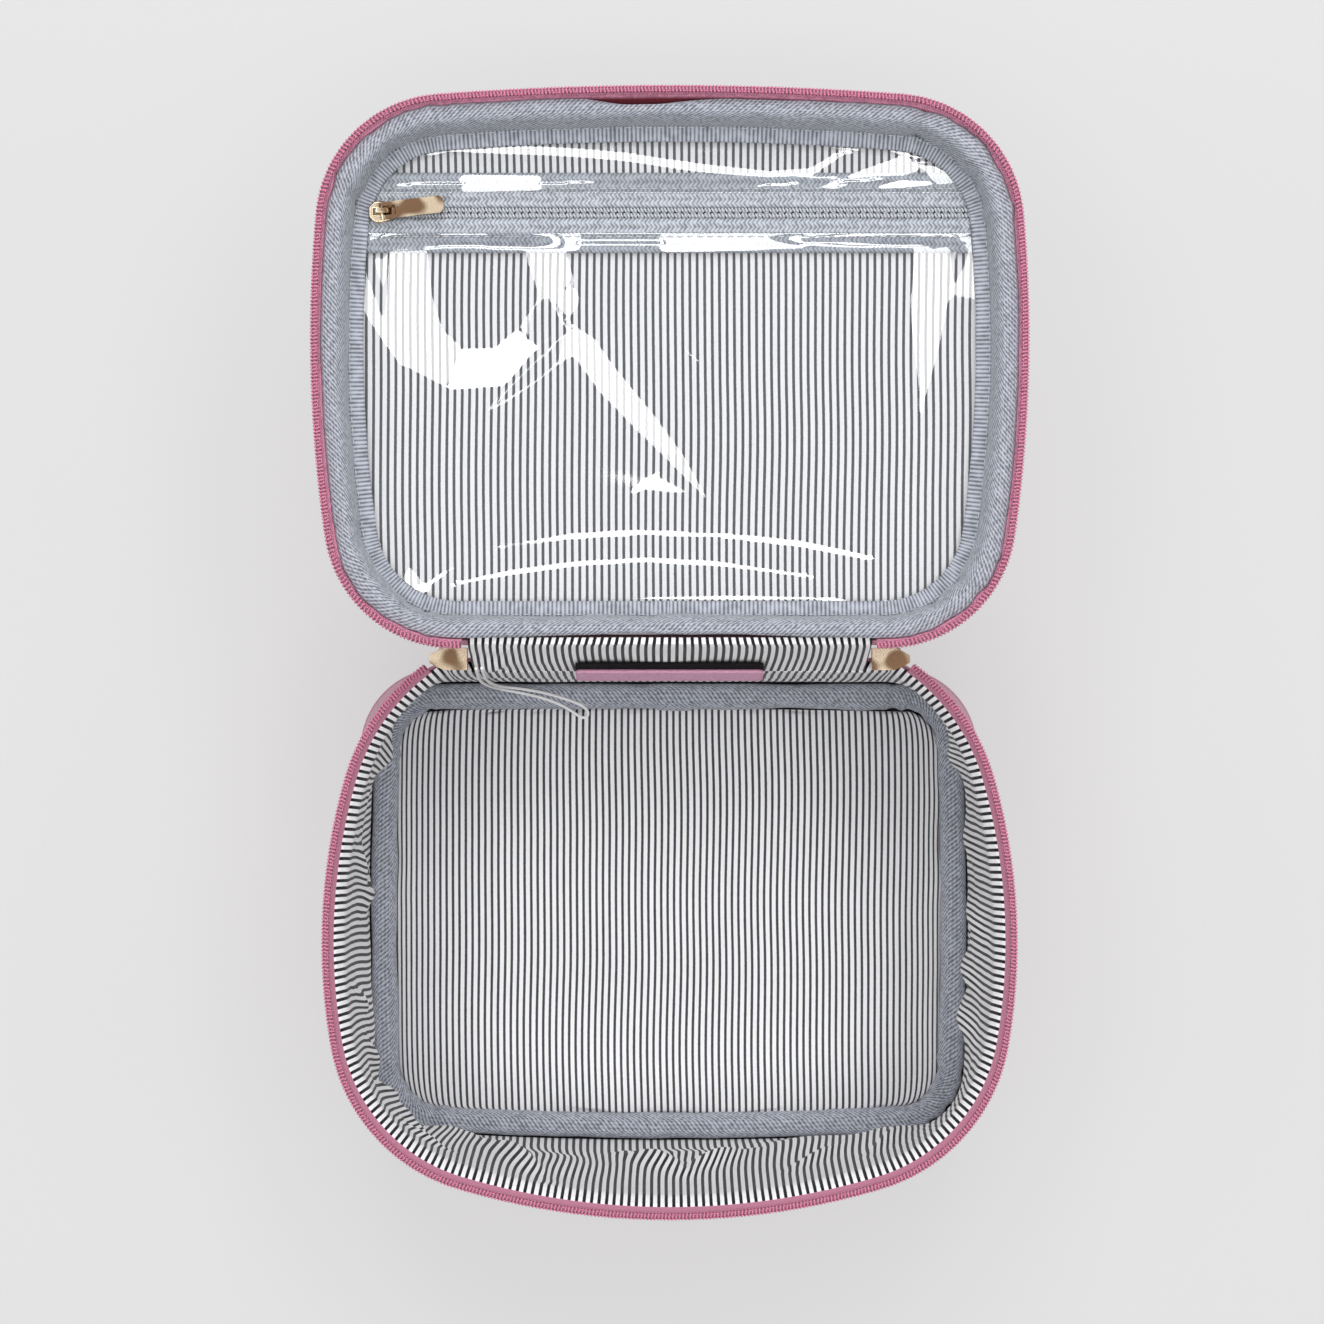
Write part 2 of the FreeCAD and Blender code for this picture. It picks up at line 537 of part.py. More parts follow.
def make_ears(body, across, pin_y, pin_z, root_y):
    """Two ears and the pin between them, on the slider's face past root_y."""
    inside = "(knuckle_length / 2 + pull_play)"
    for index, side in enumerate("-+"):
        middle = f"{across} {side} ({inside} + ear / 2)"
        corners = box_corners(root_y, f"{pin_y} + ear_reach", f"{pin_z} - ear_reach", f"{pin_z} + ear_reach")
        pad(body, polygon(body, f"{body.Label}_ear_{index}", "YZ_Plane", corners, middle), "ear", both=True)
    pin = circle(body, body.Label + "_pin", "YZ_Plane", pin_y, pin_z, "pin", across)
    pad(body, pin, f"2 * {inside} + ear", both=True)


def make_main_slider(side_name, side):
    """Two plates on a post, nose to the zip, with the pull's ears at the back."""
    label = side_name + "_slider"
    body = new_body(label)
    across = f"({side}(zip_gap - soft_gap - slider_length / 2))"
    middle = "(rim_back - slider_set)"
    stations = [(f"-{side}slider_length / 2", "slider_width"), (f"+{side}slider_shoulder", "slider_width"),
                (f"+{side}(slider_shoulder + slider_length / 2) / 2", "slider_cheek"),
                (f"+{side}slider_length / 2", "slider_nose")]
    far = [(f"{across} {step}", f"{middle} + {wide} / 2") for step, wide in stations]
    near = [(f"{across} {step}", f"{middle} - {wide} / 2") for step, wide in stations]
    corners = far + near[::-1]
    low = "(rim_height - slider_thick)"
    pad(body, polygon(body, label + "_lower", "XY_Plane", corners, low), "slider_plate")
    post = box_corners(f"{across} - slider_post / 2", f"{across} + slider_post / 2",
                       f"{middle} - slider_neck / 2", f"{middle} + slider_neck / 2")
    pad(body, polygon(body, label + "_post", "XY_Plane", post, f"{low} + slider_plate / 2"),
        "slider_thick - slider_plate")
    upper = polygon(body, label + "_upper", "XY_Plane", corners, "rim_height - slider_plate")
    pad(body, upper, "slider_plate")
    root = f"({middle} + slider_neck / 2)"
    pin_y = f"({middle} + slider_width / 2 + knuckle / 2 + running)"
    pin_z = "(rim_height - slider_thick / 2)"
    make_ears(body, across, pin_y, pin_z, root)
    make_pull(side_name + "_pull", across, pin_y, pin_z)


ZIP_LINE = "(lid_back + pocket_zip)"
ZIP_START = "(pocket_margin - lid_half_width)"
POCKET = f"({LID_FLOOR} + lining + pocket_rise)"
SHEET = f"({POCKET} + tape + layer_gap)"


def pocket_piece(label, height, thick, low=None, high=None):
    """Flat piece of the lid's pocket: the panel's outline, cut off below low and above high."""
    body = plate(label, "lid", f"({LINING_INSET} + lid_band + 2 * layer_gap)", height, thick)
    for name, first, last in (("low", "lid_back", low), ("high", high, "lid_back + lid_depth")):
        if first and last:
            corners = box_corners("-lid_half_width", "lid_half_width", first, last)
            sketch = polygon(body, f"{label}_{name}", "XY_Plane", corners, f"{height} - {thick}")
            pocket(body, sketch, f"3 * {thick}")


def make_pocket():
    """Clear pocket in the lid: two sheets sewn to the two halves of a zip."""
    coil_edge = "pocket_coil / 2"
    tape_edge = "(pocket_coil / 2 + layer_gap)"
    pocket_piece("pocket_upper_sheet", SHEET, "clear_sheet", low=f"{ZIP_LINE} + pocket_show")
    pocket_piece("pocket_lower_sheet", SHEET, "clear_sheet", high=f"{ZIP_LINE} - pocket_show")
    pocket_piece("pocket_upper_tape", POCKET, "tape", f"{ZIP_LINE} + {tape_edge}",
                 f"{ZIP_LINE} + {tape_edge} + pocket_tape")
    pocket_piece("pocket_lower_tape", POCKET, "tape", f"{ZIP_LINE} - {tape_edge} - pocket_tape",
                 f"{ZIP_LINE} - {tape_edge}")
    pocket_piece("pocket_coil", POCKET, "pocket_coil_rise", f"{ZIP_LINE} - {coil_edge}",
                 f"{ZIP_LINE} + {coil_edge}")


def place(body, across, along, height, rotation):
    """Puts a piece that was drawn round the origin into its place."""
    body.Placement = FreeCAD.Placement(Vector(size(across), size(along), size(height)), rotation)
    for axis, text in zip("xyz", (across, along, height)):
        body.setExpression(f"Placement.Base.{axis}", bound(text))


def make_bridge(body):
    """Arch along the pocket slider's face, under which the pull's cross bar turns."""
    inside = "(bridge_half - bridge_thick)"
    under = "(pocket_plate + pin + 2 * bridge_play)"
    top = f"({under} + bridge_thick)"
    cut = "bridge_thick / 2"
    root = "pocket_plate / 2"
    inner = [(root, inside), (under, inside), (under, f"-{inside}"), (root, f"-{inside}")]
    outer = [(root, "-bridge_half"), (f"{top} - {cut}", "-bridge_half"), (top, f"-bridge_half + {cut}"),
             (top, f"bridge_half - {cut}"), (f"{top} - {cut}", "bridge_half"), (root, "bridge_half")]
    pad(body, polygon(body, "pocket_slider_bridge", "YZ_Plane", inner + outer), "bridge_width", both=True)


def make_window_pull(label):
    """Bar pull with a window at its root, drawn hanging down from its cross bar at the origin."""
    body = new_body(label)
    half = "pull_width / 2"
    right = [(half, "0"), (half, "pull_bevel - pull_length"), (f"{half} - pull_bevel", "-pull_length")]
    left = [(f"-({across})", along) for across, along in right]
    pad(body, polygon(body, label + "_bar", "XZ_Plane", right + left[::-1]), "pull_thick", both=True)
    window = box_corners("-window_half", "window_half", "-window_length", "pin")
    pocket(body, polygon(body, label + "_window", "XZ_Plane", window), "2 * pull_thick", both=True)
    pad(body, circle(body, label + "_cross_bar", "YZ_Plane", "0", "0", "pin"), "pull_width", both=True)
    return body


def make_pocket_slider():
    """Slider over the pocket's coil, drawn with its travel along Z and its face towards +Y."""
    body = new_body("pocket_slider")
    half = "pocket_slider_width / 2"
    long = "pocket_slider_length / 2"
    right = [(f"{half} - slider_round", f"-{long}"), (half, f"slider_round - {long}"), (half, "0"),
             (f"{half} * 0.8", f"{long} * 0.6"), (f"{half} * 0.4", long)]
    left = [(f"-({across})", along) for across, along in right]
    face = polygon(body, "pocket_slider_plate", "XZ_Plane", right + left[::-1], "-pocket_plate")
    pad(body, face, "pocket_plate")
    edge = "(pocket_coil / 2 + soft_gap)"
    reach = "pocket_coil_rise + soft_gap - tape - running"
    for side in ("-", "+"):
        corners = box_corners(f"0 {side} {edge}", f"0 {side} {half}", f"slider_round - {long}", "0")
        name = "pocket_slider_flange_" + ("left" if side == "-" else "right")
        flange = polygon(body, name, "XZ_Plane", corners, "-pocket_plate / 2")
        pad(body, flange, f"{reach} + pocket_plate / 2")
    make_bridge(body)
    seat = f"({POCKET} + pocket_coil_rise + soft_gap)"
    upright = FreeCAD.Rotation(Vector(0, 1, 0), Vector(0, 0, 1), Vector(1, 0, 0), "XYZ")
    place(body, ZIP_START, ZIP_LINE, seat, upright)
    pull = make_window_pull("pocket_pull")
    flat = FreeCAD.Rotation(Vector(0, 1, 0), Vector(0, 0, -1), Vector(-1, 0, 0), "XYZ")
    yaw = FreeCAD.Rotation(Vector(0, 0, 1), size("pull_yaw"))
    place(pull, ZIP_START, ZIP_LINE, f"{seat} + pocket_plate + bridge_play + pin / 2", yaw.multiply(flat))


HANDLE_LINE = "(lid_back + handle_place)"
PIVOT = f"({LID} - handle_drop)"
GRIP_TOP = f"({PIVOT} - handle_eye / 2 - running - handle_cap_rise)"


def make_bracket(side_name, across):
    """Plate on the lid's outer face with two ears, and the pin through them."""
    label = "handle_bracket_" + side_name
    body = new_body(label)
    corners = box_corners(f"{across} - bracket_length / 2", f"{across} + bracket_length / 2",
                          f"{HANDLE_LINE} - bracket_width / 2", f"{HANDLE_LINE} + bracket_width / 2")
    pad(body, polygon(body, label + "_plate", "XY_Plane", corners, f"{LID} - bracket_plate"), "bracket_plate")
    reach = "(handle_eye_thick / 2 + running + handle_ear / 2)"
    for side in "-+":
        name = label + ("_inner" if side == "-" else "_outer")
        spot = f"{across} {side} {reach}"
        corners = box_corners(f"{HANDLE_LINE} - handle_eye / 2", f"{HANDLE_LINE} + handle_eye / 2",
                              PIVOT, f"{LID} - bracket_plate / 2")
        pad(body, polygon(body, name, "YZ_Plane", corners, spot), "handle_ear", both=True)
        disc = circle(body, name + "_round", "YZ_Plane", HANDLE_LINE, PIVOT, "handle_eye", spot)
        pad(body, disc, "handle_ear", both=True)
    hole = circle(body, label + "_hole", "YZ_Plane", HANDLE_LINE, PIVOT, "handle_pin + layer_gap", across)
    pocket(body, hole, "bracket_length", both=True)
    body = new_body("handle_pin_" + side_name)
    rod = circle(body, body.Label + "_section", "YZ_Plane", HANDLE_LINE, PIVOT, "handle_pin", across)
    pad(body, rod, "handle_eye_thick + 2 * running + 2 * handle_ear", both=True)


def make_handle_end(side_name, across):
    """Eye on the pin with a round cap for the grip."""
    label = "handle_end_" + side_name
    body = new_body(label)
    eye = circle(body, label + "_eye", "YZ_Plane", HANDLE_LINE, PIVOT, "handle_eye", across)
    pad(body, eye, "handle_eye_thick", both=True)
    corners = box_corners(f"{HANDLE_LINE} - handle_neck / 2", f"{HANDLE_LINE} + handle_neck / 2",
                          f"{PIVOT} - handle_eye / 2 - 2 * running", PIVOT)
    pad(body, polygon(body, label + "_neck", "YZ_Plane", corners, across), "handle_eye_thick", both=True)
    cap = circle(body, label + "_cap", "XY_Plane", across, HANDLE_LINE, "handle_cap", GRIP_TOP)
    pad(body, cap, "handle_cap_rise")
    bore = circle(body, label + "_bore", "YZ_Plane", HANDLE_LINE, PIVOT, "handle_pin + 2 * running", across)
    pocket(body, bore, "2 * handle_eye_thick", both=True)


def make_grip():
    """Rolled leather grip swept along an arch that hangs under the open lid."""
    body = new_body("handle_grip")
    half = size("handle_half")
    low = size(f"{PIVOT} - handle_rise")
    bend = size("grip_bend")
    top = size(GRIP_TOP)
    arch = new_sketch(body, "handle_grip_arch", "XZ_Plane", f"-{HANDLE_LINE}")
    up = Vector(0, 0, 1)
    left = Part.Circle(Vector(bend - half, low + bend, 0), up, bend)
    right = Part.Circle(Vector(half - bend, low + bend, 0), up, bend)
    arch.addGeometry([
        Part.LineSegment(Vector(-half, top, 0), Vector(-half, low + bend, 0)),
        Part.ArcOfCircle(left, math.pi, 1.5 * math.pi),
        Part.LineSegment(Vector(bend - half, low, 0), Vector(half - bend, low, 0)),
        Part.ArcOfCircle(right, 1.5 * math.pi, 2 * math.pi),
        Part.LineSegment(Vector(half, low + bend, 0), Vector(half, top, 0)),
    ])
    join = Sketcher.Constraint
    arch.addConstraint([join("Tangent", index, 2, index + 1, 1) for index in range(4)])
    arch.addConstraint([join("Vertical", 0), join("Horizontal", 2), join("Vertical", 4), join("Equal", 1, 3)])
    hold(arch, "DistanceX", (-1, 1, 0, 1), "-handle_half")
    hold(arch, "DistanceY", (-1, 1, 0, 1), GRIP_TOP)
    hold(arch, "DistanceX", (-1, 1, 4, 2), "handle_half")
    hold(arch, "DistanceY", (-1, 1, 4, 2), GRIP_TOP)
    hold(arch, "DistanceY", (-1, 1, 2, 1), f"{PIVOT} - handle_rise")
    hold(arch, "Radius", (1,), "grip_bend")
    item = body.newObject("PartDesign::AdditivePipe", "handle_grip_sweep")
    start = "-handle_half"
    item.Profile = circle(body, "handle_grip_section", "XY_Plane", start, HANDLE_LINE, "grip_width", GRIP_TOP)
    item.Spine = (arch, [])


def rounded_path(points):
    """Straight runs joined by tangent arcs as large as the runs allow; prints the radii."""
    share = 0.45
    edges = []
    radii = []
    start = points[0]
    for before, corner, after in zip(points, points[1:], points[2:]):
        to_before, to_after = before - corner, after - corner
        cut = share * min(to_before.Length, to_after.Length)
        first = corner + Vector(to_before).normalize() * cut
        last = corner + Vector(to_after).normalize() * cut
        half_turn = (math.pi - to_before.getAngle(to_after)) / 2
        radius = cut / math.tan(half_turn)
        inward = ((first + last) * 0.5 - corner).normalize()
        middle = corner + inward * (radius / math.cos(half_turn) - radius)
        edges += [Part.LineSegment(start, first).toShape(), Part.Arc(first, middle, last).toShape()]
        radii.append(round(radius, 1))
        start = last
    edges.append(Part.LineSegment(start, points[-1]).toShape())
    print("loop radii", radii)
    return Part.Wire(edges)


def make_loop():
    """Thin white cord loop that hangs down the back wall and lies over the floor's binding."""
    path = rounded_path([Vector(*point) for point in LOOP_ROUTE])
    heading = path.Edges[0].tangentAt(path.Edges[0].FirstParameter)
    ring = Part.Wire(Part.Circle(Vector(*LOOP_ROUTE[0]), heading, size("cord / 2")).toShape())
    item = doc.addObject("Part::Feature", "hang_loop")
    item.Label = "hang_loop"
    item.Shape = path.makePipeShell([ring], True, False)
    item.Placement = FreeCAD.Placement()
    expected = path.Length * math.pi * size("cord / 2") ** 2
    print("loop length", round(path.Length, 1), "volume share", round(item.Shape.Volume / expected, 4))
    pieces.append(item)


def write_parts():
    """Writes every piece after all of them have been found sound."""
    doc.recompute()
    failed = [item.Label for item in doc.Objects if {"Invalid", "Error"} & set(item.State)]
    failed += [item.Label for item in pieces if item.Shape.isNull() or not item.Shape.isValid()]
    if failed:
        raise RuntimeError("not sound: " + ", ".join(failed))
    os.makedirs("parts", exist_ok=True)
    for item in pieces:
        item.Shape.exportStep(f"parts/{item.Label}.step")


make_base()
make_body()
make_zip("body_zip", "rim", "rim_height", "zip_gap")
make_hinge()
make_label()
make_loop()
for side_name, side in (("left", "-"), ("right", "+")):
    make_main_slider(side_name, side)
make_lid()
make_zip("lid_zip", "lid", LID_RIM, "lid_zip_gap")
make_pocket()
make_pocket_slider()
for side_name, side in (("left", "-"), ("right", "+")):
    make_bracket(side_name, f"({side}handle_half)")
    make_handle_end(side_name, f"({side}handle_half)")
make_grip()
write_parts()
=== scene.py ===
"""Looks of an open soft train case: cloth, leather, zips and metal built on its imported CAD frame."""
import json
import math

import bmesh
import bpy
from bpy.props import FloatProperty, FloatVectorProperty, PointerProperty
from mathutils import Matrix, Vector, geometry, noise


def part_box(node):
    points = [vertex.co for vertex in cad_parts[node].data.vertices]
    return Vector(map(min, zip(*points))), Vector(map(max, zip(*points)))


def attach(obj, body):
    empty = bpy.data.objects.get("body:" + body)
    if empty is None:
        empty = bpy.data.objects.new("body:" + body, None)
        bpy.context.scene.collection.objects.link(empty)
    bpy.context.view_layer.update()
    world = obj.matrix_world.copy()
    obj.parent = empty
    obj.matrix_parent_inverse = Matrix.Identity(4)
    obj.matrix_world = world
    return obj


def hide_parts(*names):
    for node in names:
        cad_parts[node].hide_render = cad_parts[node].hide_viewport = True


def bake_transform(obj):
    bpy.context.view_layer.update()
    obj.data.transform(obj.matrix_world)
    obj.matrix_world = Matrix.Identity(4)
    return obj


bl_info = {
    "name": "Train case looks",
    "version": (1, 0, 0),
    "blender": (4, 5, 0),
    "location": "View3D > Sidebar > Train Case",
    "description": "Builds the linings, zips, clear pocket, leather and metal of an open train case",
    "category": "Object",
}

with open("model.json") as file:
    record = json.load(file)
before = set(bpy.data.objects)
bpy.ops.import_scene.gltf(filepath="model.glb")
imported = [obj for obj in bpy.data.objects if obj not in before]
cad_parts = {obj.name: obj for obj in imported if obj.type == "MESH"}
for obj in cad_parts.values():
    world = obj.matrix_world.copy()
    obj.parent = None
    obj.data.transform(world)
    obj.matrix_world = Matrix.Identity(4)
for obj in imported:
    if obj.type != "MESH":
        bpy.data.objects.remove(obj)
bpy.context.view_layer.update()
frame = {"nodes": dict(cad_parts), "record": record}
NODES = frame["nodes"]
UP = Vector((0, 0, 1))
# Thickness of the outer leather and of the zips' tapes, in metres.
HIDE = 0.0011
TAPE = 0.0006

# Route of the white loop, as in the CAD source, in metres.
LOOP_ROUTE = [
    (-0.0636, 0.0886, 0.1260), (-0.0639, 0.0857, 0.1120), (-0.0643, 0.0840, 0.0900), (-0.0647, 0.0829, 0.0620),
    (-0.0645, 0.0819, 0.0360), (-0.0634, 0.0812, 0.0200), (-0.0598, 0.0802, 0.0122), (-0.0532, 0.0790, 0.0105),
    (-0.0450, 0.0770, 0.0106), (-0.0384, 0.0742, 0.0105), (-0.0342, 0.0714, 0.0097), (-0.0319, 0.0699, 0.0089),
    (-0.0299, 0.0706, 0.0089), (-0.0299, 0.0727, 0.0094), (-0.0323, 0.0749, 0.0102), (-0.0376, 0.0769, 0.0107),
    (-0.0452, 0.0792, 0.0105), (-0.0536, 0.0807, 0.0106), (-0.0596, 0.0814, 0.0146), (-0.0618, 0.0819, 0.0240),
    (-0.0624, 0.0825, 0.0400), (-0.0627, 0.0834, 0.0640), (-0.0623, 0.0844, 0.0900), (-0.0618, 0.0859, 0.1120),
    (-0.0617, 0.0887, 0.1260),
]
LOOP_DIAMETER = 0.0011


def length(default, name, description):
    return FloatProperty(name=name, description=description, default=default, min=0, unit="LENGTH", precision=5)


def colour(red, green, blue, name, description):
    """Colour property whose default is given in display values from 0 to 255."""
    shares = [value / 255 for value in (red, green, blue)]
    linear = [share / 12.92 if share < 0.04045 else ((share + 0.055) / 1.055) ** 2.4 for share in shares]
    return FloatVectorProperty(name=name, description=description, default=linear, size=3, subtype="COLOR")


class CaseSizes(bpy.types.PropertyGroup):
    """Sizes of the cloth, thread and zips."""

    stripe_pitch: length(0.0024, "Stripe pitch", "One dark and one pale stripe of the lining")
    cloth: length(0.0005, "Cloth", "Thickness of the linings")
    slack: length(0.0007, "Lining slack", "Depth of the small wrinkles in the wall lining")
    twill: length(0.0016, "Twill", "Spacing of the binding's twill lines")
    rib: length(0.0013, "Rib", "Spacing of the ribs on the flat binding tape")
    coil_pitch: length(0.00115, "Coil pitch", "Length of one turn of the main zip's coil")
    coil_wire: length(0.0006, "Coil wire", "Thickness of the main zip's coil filament")
    pocket_pitch: length(0.0011, "Pocket coil pitch", "Length of one turn of the pocket zip's coil")
    pocket_wire: length(0.0006, "Pocket coil wire", "Thickness of the pocket zip's coil filament")
    film: length(0.0004, "Film", "Thickness of the clear pocket sheets")
    film_wave: length(0.0003, "Film waves", "Depth of the waves in the clear pocket sheets")
    stitch: length(0.0024, "Stitch", "Length of one stitch")
    stitch_gap: length(0.0009, "Stitch gap", "Space between stitches")
    thread: length(0.0004, "Thread", "Thickness of the sewing thread")
    grain: length(0.0011, "Grain", "Width of a cell of the leather's grain")
    edge: length(0.0006, "Metal edge", "Rounding of the metal pieces' edges")


class CaseColours(bpy.types.PropertyGroup):
    """Colours of the finishes."""

    leather: colour(196, 138, 160, "Leather", "Outer leather and piping")
    label: colour(222, 162, 192, "Label leather", "Bare label in the hinge")
    coil: colour(205, 122, 152, "Coil", "Main zip's coil")
    tape: colour(212, 140, 166, "Tape", "Main zip's tape")
    # Painted shadow: this deep red is the main zip's tape where it runs under the lid's binding.
    shaded_tape: colour(120, 24, 44, "Deep tape", "Main zip's tape under the binding")
    stripe_pale: colour(250, 249, 251, "Pale stripe", "Pale yarn of the lining")
    # Painted shade: this dark yarn, on the walls and the hinge, is darker than the floor's and the lid's for the shade
    # there.
    shaded_stripe_dark: colour(24, 24, 30, "Dark stripe", "Dark yarn of the lining")
    # Painted light: this dark yarn is lighter than the wall's only because more light falls on the floor and the lid;
    # the cloth is the same.
    lit_panel_dark: colour(74, 74, 78, "Dark panel stripe", "Dark yarn of the floor and the lid, which is a little faded")
    binding: colour(172, 176, 187, "Binding", "Grey binding round the floor and the lid")
    pocket_tape: colour(158, 163, 171, "Pocket tape", "Grey tape of the pocket's zip")
    pocket_coil: colour(196, 200, 207, "Pocket coil", "Grey coil of the pocket's zip")
    gold: colour(224, 205, 178, "Gold", "Sliders, pulls and handle fittings")
    backing: colour(16, 15, 17, "Backing", "Dark backing of the label")
    thread: colour(205, 207, 212, "Thread", "Pale sewing thread")
    cord: colour(255, 255, 255, "Cord", "White loop")
    board: colour(150, 128, 100, "Board", "Stiff board inside the lid")
    base_sheet: colour(70, 70, 74, "Base sheet", "Stiff sheet inside the base")
    table: colour(134, 134, 134, "Table", "Surface that the case stands on")


class Value:
    """Number socket in a finish; arithmetic on it adds Math nodes."""

    def __init__(self, finish, socket):
        self.finish = finish
        self.socket = socket

    def math(self, operation, *others):
        sockets = dict(enumerate((self, *others)))
        return self.finish.node("ShaderNodeMath", {"operation": operation}, sockets)

    def __add__(self, other):
        return self.math("ADD", other)

    def __sub__(self, other):
        return self.math("SUBTRACT", other)

    def __rsub__(self, other):
        return self.finish.node("ShaderNodeMath", {"operation": "SUBTRACT"}, {0: other, 1: self})

    def __mul__(self, other):
        return self.math("MULTIPLY", other)

    def fraction(self):
        return self.math("FRACT")

    def wave(self):
        """From 0 to 1 and back over each whole number."""
        return self.math("PINGPONG", 0.5) * 2

    def between(self, low, high):
        """Smooth step from 0 at low to 1 at high."""
        settings = {"interpolation_type": "SMOOTHSTEP"}
        return self.finish.node("ShaderNodeMapRange", settings, {"Value": self, "From Min": low, "From Max": high})


class Finish:
    """Node tree of one material."""

    def __init__(self, name):
        self.material = bpy.data.materials.new(name)
        self.material.use_nodes = True
        self.tree = self.material.node_tree
        self.tree.nodes.clear()

    def node(self, kind, settings=None, sockets=None, output=0):
        """Adds a node, first its settings and then its sockets' values or links; returns one of its outputs."""
        item = self.tree.nodes.new(kind)
        for name, value in (settings or {}).items():
            setattr(item, name, value)
        for name, value in (sockets or {}).items():
            if isinstance(value, Value):
                self.tree.links.new(value.socket, item.inputs[name])
            else:
                item.inputs[name].default_value = value
        return Value(self, item.outputs[output])

    def chart(self):
        """The piece's own chart as two numbers."""
        split = {"Vector": self.node("ShaderNodeUVMap", {"uv_map": "chart"})}
        return [self.node("ShaderNodeSeparateXYZ", None, split, axis) for axis in "XY"]

    def place(self):
        return self.node("ShaderNodeTexCoord", None, None, "Object")

    def noise(self, scale, detail=2, stretch=None):
        """Even noise over the piece; stretch scales its axes."""
        place = self.place()
        if stretch:
            place = self.node("ShaderNodeMapping", None, {"Vector": place, "Scale": stretch})
        sockets = {"Vector": place, "Scale": scale, "Detail": detail}
        return self.node("ShaderNodeTexNoise", None, sockets, "Fac")

    def blend(self, share, first, second):
        """Colour between two colours."""
        sockets = {0: share, 6: paint(first), 7: paint(second)}
        return self.node("ShaderNodeMix", {"data_type": "RGBA"}, sockets, 2)

    def shades(self, share, tone, low, high=1):
        """Colour between a dimmer and a brighter shade of one tone."""
        return self.blend(share, scaled(tone, low), scaled(tone, high))

    def bump(self, height, distance, strength):
        return self.node("ShaderNodeBump", None, {"Height": height, "Distance": distance, "Strength": strength})

    def output(self, surface):
        end = self.tree.nodes.new("ShaderNodeOutputMaterial")
        self.tree.links.new(surface.socket, end.inputs["Surface"])
        return self.material

    def principled(self, **sockets):
        """Ends the finish with one Principled shader, whose sockets are named in small letters."""
        named = {name.replace("_", " ").title().replace("Ior", "IOR"): value for name, value in sockets.items()}
        return self.output(self.node("ShaderNodeBsdfPrincipled", None, named))

    def woven(self, shade, normal, roughness, sheen, sheen_roughness=0.45, gloss=0.3):
        """Ends the finish as cloth."""
        return self.principled(base_color=shade, roughness=roughness, normal=normal, sheen_weight=sheen,
                               sheen_roughness=sheen_roughness, specular_ior_level=gloss)


def paint(value):
    return value if isinstance(value, Value) else (*value, 1)


def scaled(tone, share):
    """Tone made dimmer or brighter, at most white."""
    return [min(1, channel * share) for channel in tone]


def striped_cloth(name, pale, dark, share):
    """Fine woven cotton with dark and pale stripes; the chart's first axis counts them, and dark ones fill a share."""
    finish = Finish(name)
    stripes, rise = finish.chart()
    yarn = finish.noise(900, 3)
    edge = stripes.fraction().wave() + (yarn - 0.5) * 0.12
    inked = 1 - edge.between(share - 0.04, share + 0.04)
    slub = finish.noise(260, 3, (1, 0.12, 1))
    shade = finish.blend(inked, finish.shades(slub, pale, 0.92), finish.shades(slub, dark, 0.7, 1.3))
    threads = (stripes * 7).wave() + (rise * (1 / 0.00034)).wave()
    normal = finish.bump(threads * 0.4 + yarn * 0.6, 0.00012, 0.6)
    return finish.woven(shade, normal, 0.86, 0.15, 0.5, 0.25)


def twill_cloth(name, tone, spacing):
    """Twill binding: fine slanted lines; the chart is in metres."""
    finish = Finish(name)
    along, across = finish.chart()
    lines = ((along + across) * (1 / spacing)).wave()
    picks = (across * (1.6 / spacing)).wave()
    mottle = finish.noise(850, 3)
    weave = lines * 0.55 + picks * 0.2 + mottle - 0.35
    shade = finish.shades(weave.between(0.12, 0.92), tone, 0.36, 1.45)
    return finish.woven(shade, finish.bump(weave, 0.0003, 0.9), 0.8, 0.25)


def ribbed_tape(name, tone, spacing):
    """Grosgrain: upright ribs across a flat tape; the chart is in metres."""
    finish = Finish(name)
    ribs = (finish.chart()[0] * (1 / spacing)).wave()
    mottle = finish.noise(300, 3)
    weave = ribs * 0.75 + (mottle - 0.5) * 0.9 + 0.15
    shade = finish.shades(weave.between(0.1, 0.9), tone, 0.38, 1.3)
    return finish.woven(shade, finish.bump(weave, 0.0003, 0.9), 0.8, 0.2)


def woven_tape(name, tone, pitch, deep, shade_from, shade_to):
    """Zip tape in fine herringbone with painted shade, deeper in colour from one place across it to another."""
    finish = Finish(name)
    along, across = finish.chart()
    columns = (across * (0.5 / pitch)).fraction().wave()
    bones = ((along + columns * pitch * 0.8) * (1 / pitch)).wave()
    mottle = finish.noise(700, 3)
    weave = bones * 0.6 + columns * 0.25 + mottle - 0.4
    lit = finish.shades(weave.between(0.1, 0.9), tone, 0.5, 1.45)
    # Painted shade: the lit weave blends into the deeper tone across the tape.
    shade = finish.blend(across.between(shade_from, shade_to), lit, deep)
    return finish.woven(shade, finish.bump(weave, 0.0002, 0.7), 0.75, 0.2)


def nylon(name, tone):
    """Satin filament of a zip's coil."""
    finish = Finish(name)
    mottle = finish.noise(500, 3)
    return finish.principled(base_color=finish.shades(mottle, tone, 0.82, 1.15), roughness=mottle * 0.2 + 0.32,
                             coat_weight=0.15, coat_roughness=0.3)


def leather(name, tone, grain):
    """Pebbled leather with darker valleys and a soft sheen."""
    finish = Finish(name)
    cells = {"Vector": finish.place(), "Scale": 1 / grain}
    pebble = finish.node("ShaderNodeTexVoronoi", {"feature": "SMOOTH_F1"}, cells, "Distance")
    height = 1 - pebble + finish.noise(1800, 3) * 0.25
    valley = pebble.between(0.35, 0.8)
    shade = finish.blend(valley, finish.shades(finish.noise(28, 3), tone, 0.88, 1.06), scaled(tone, 0.78))
    return finish.principled(base_color=shade, roughness=valley * 0.18 + 0.42, normal=finish.bump(height, 0.0003, 0.55),
                             specular_ior_level=0.45)


